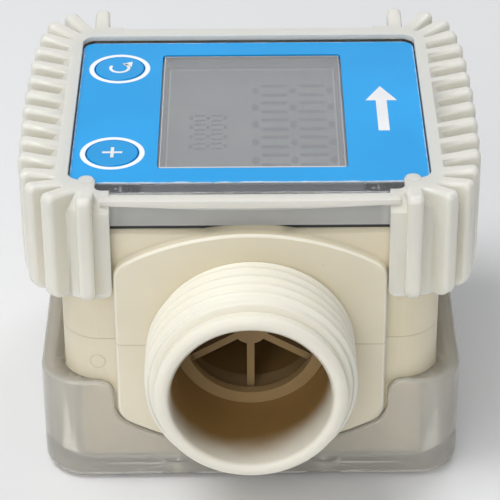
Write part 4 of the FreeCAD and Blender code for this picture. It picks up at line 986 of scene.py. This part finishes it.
class FLOWMETER_OT_stage(bpy.types.Operator):
    """Pale floor, soft lights and the camera"""

    bl_idname = "flowmeter.stage"
    bl_label = "Studio"

    def execute(self, context):
        self.floor()
        self.lights()
        self.world(context)
        self.camera(context)
        context.scene.view_settings.view_transform = "Standard"
        return {"FINISHED"}

    @staticmethod
    def floor():
        """A wide pale floor just below the lower cover."""
        half_side, drop = 3.0, 0.0001
        work = bmesh.new()
        corners = bmesh.ops.create_grid(work, x_segments=1, y_segments=1, size=half_side)["verts"]
        bmesh.ops.translate(work, verts=corners, vec=(0, 0, -drop))
        floor = link("studio_floor", mesh_of("studio_floor", work))
        finish = Finish("pale_floor")
        nodes = finish.nodes
        cloud = nodes.noise(finish.place, 0.3, 2.0)
        paint(floor, finish.done(Base_Color=nodes.mix(cloud, (0.74, 0.74, 0.75), (0.80, 0.80, 0.80)),
                                 Roughness=0.7))

    @staticmethod
    def lights():
        """Three square lamps aimed at the pipe's axis: name, place, side and power in watts."""
        lamps = [("key_light", (-0.30, -0.10, 0.80), 0.4, 4.0),
                 ("front_light", (-0.20, -0.75, 0.50), 0.6, 3.1),
                 ("rear_light", (0.25, 0.45, 0.85), 0.4, 1.6)]
        for name, place, side, power in lamps:
            data = bpy.data.lights.new(name, "AREA")
            data.shape = "SQUARE"
            data.size = side
            data.energy = power
            lamp = bpy.data.objects.new(name, data)
            lamp.location = place
            aim = Vector((0, 0, AXIS)) - Vector(place)
            lamp.rotation_euler = aim.to_track_quat("-Z", "Y").to_euler()
            bpy.context.scene.collection.objects.link(lamp)

    @staticmethod
    def world(context):
        """A dim even sky, which camera, glossy and transmission rays see pale."""
        world = bpy.data.worlds.new("pale_studio")
        world.use_nodes = True
        nodes = Nodes(world.node_tree)
        rays = nodes.tree.nodes.new("ShaderNodeLightPath").outputs
        seen = Wire(nodes, rays["Is Camera Ray"])
        for kind in ("Is Glossy Ray", "Is Transmission Ray"):
            seen = seen.either(Wire(nodes, rays[kind]))
        shade = nodes.add("ShaderNodeBackground", None, {"Color": (0.93, 0.96, 1.0), "Strength": 0.30})
        pale = nodes.add("ShaderNodeBackground", None, {"Color": (0.90, 0.91, 0.92), "Strength": 0.9})
        both = nodes.add("ShaderNodeMixShader", None, [seen, shade, pale])
        nodes.add("ShaderNodeOutputWorld", None, {"Surface": both})
        context.scene.world = world

    @staticmethod
    def camera(context):
        """A long lens before the inlet, which looks down on the display."""
        place, look_down, roll_angle = (0.0, -0.34545, 0.2431), 32.19, -0.38
        data = bpy.data.cameras.new("camera")
        data.sensor_width = 36.0
        data.lens = 172.8
        data.clip_start = 0.01
        camera = bpy.data.objects.new("camera", data)
        tilt = Matrix.Rotation(math.radians(90 - look_down), 4, "X")
        roll = Matrix.Rotation(math.radians(roll_angle), 4, "Z")
        camera.matrix_world = Matrix.Translation(place) @ tilt @ roll
        context.scene.collection.objects.link(camera)
        context.scene.camera = camera


class FLOWMETER_PT_panel(bpy.types.Panel):
    """Sidebar panel that lists the settings and the steps"""

    bl_idname = "FLOWMETER_PT_panel"
    bl_label = "Turbine Flow Meter"
    bl_space_type = "VIEW_3D"
    bl_region_type = "UI"
    bl_category = "Flow Meter"

    def draw(self, context):
        for key in FlowMeterSettings.__annotations__:
            self.layout.prop(context.scene.flow_meter, key)
        for step in STEPS:
            self.layout.operator(step.bl_idname)


STEPS = (FLOWMETER_OT_body, FLOWMETER_OT_lower_cover, FLOWMETER_OT_display, FLOWMETER_OT_buttons,
         FLOWMETER_OT_electronics, FLOWMETER_OT_rotor, FLOWMETER_OT_screws, FLOWMETER_OT_boot,
         FLOWMETER_OT_stage)
CLASSES = (FlowMeterSettings, *STEPS, FLOWMETER_PT_panel)


def register():
    for item in CLASSES:
        bpy.utils.register_class(item)
    bpy.types.Scene.flow_meter = bpy.props.PointerProperty(type=FlowMeterSettings)


def unregister():
    del bpy.types.Scene.flow_meter
    for item in reversed(CLASSES):
        bpy.utils.unregister_class(item)


def main():
    """Make the meter and its studio."""
    register()
    for step in STEPS:
        group, name = step.bl_idname.split(".")
        getattr(getattr(bpy.ops, group), name)()


if __name__ == "__main__":
    main()
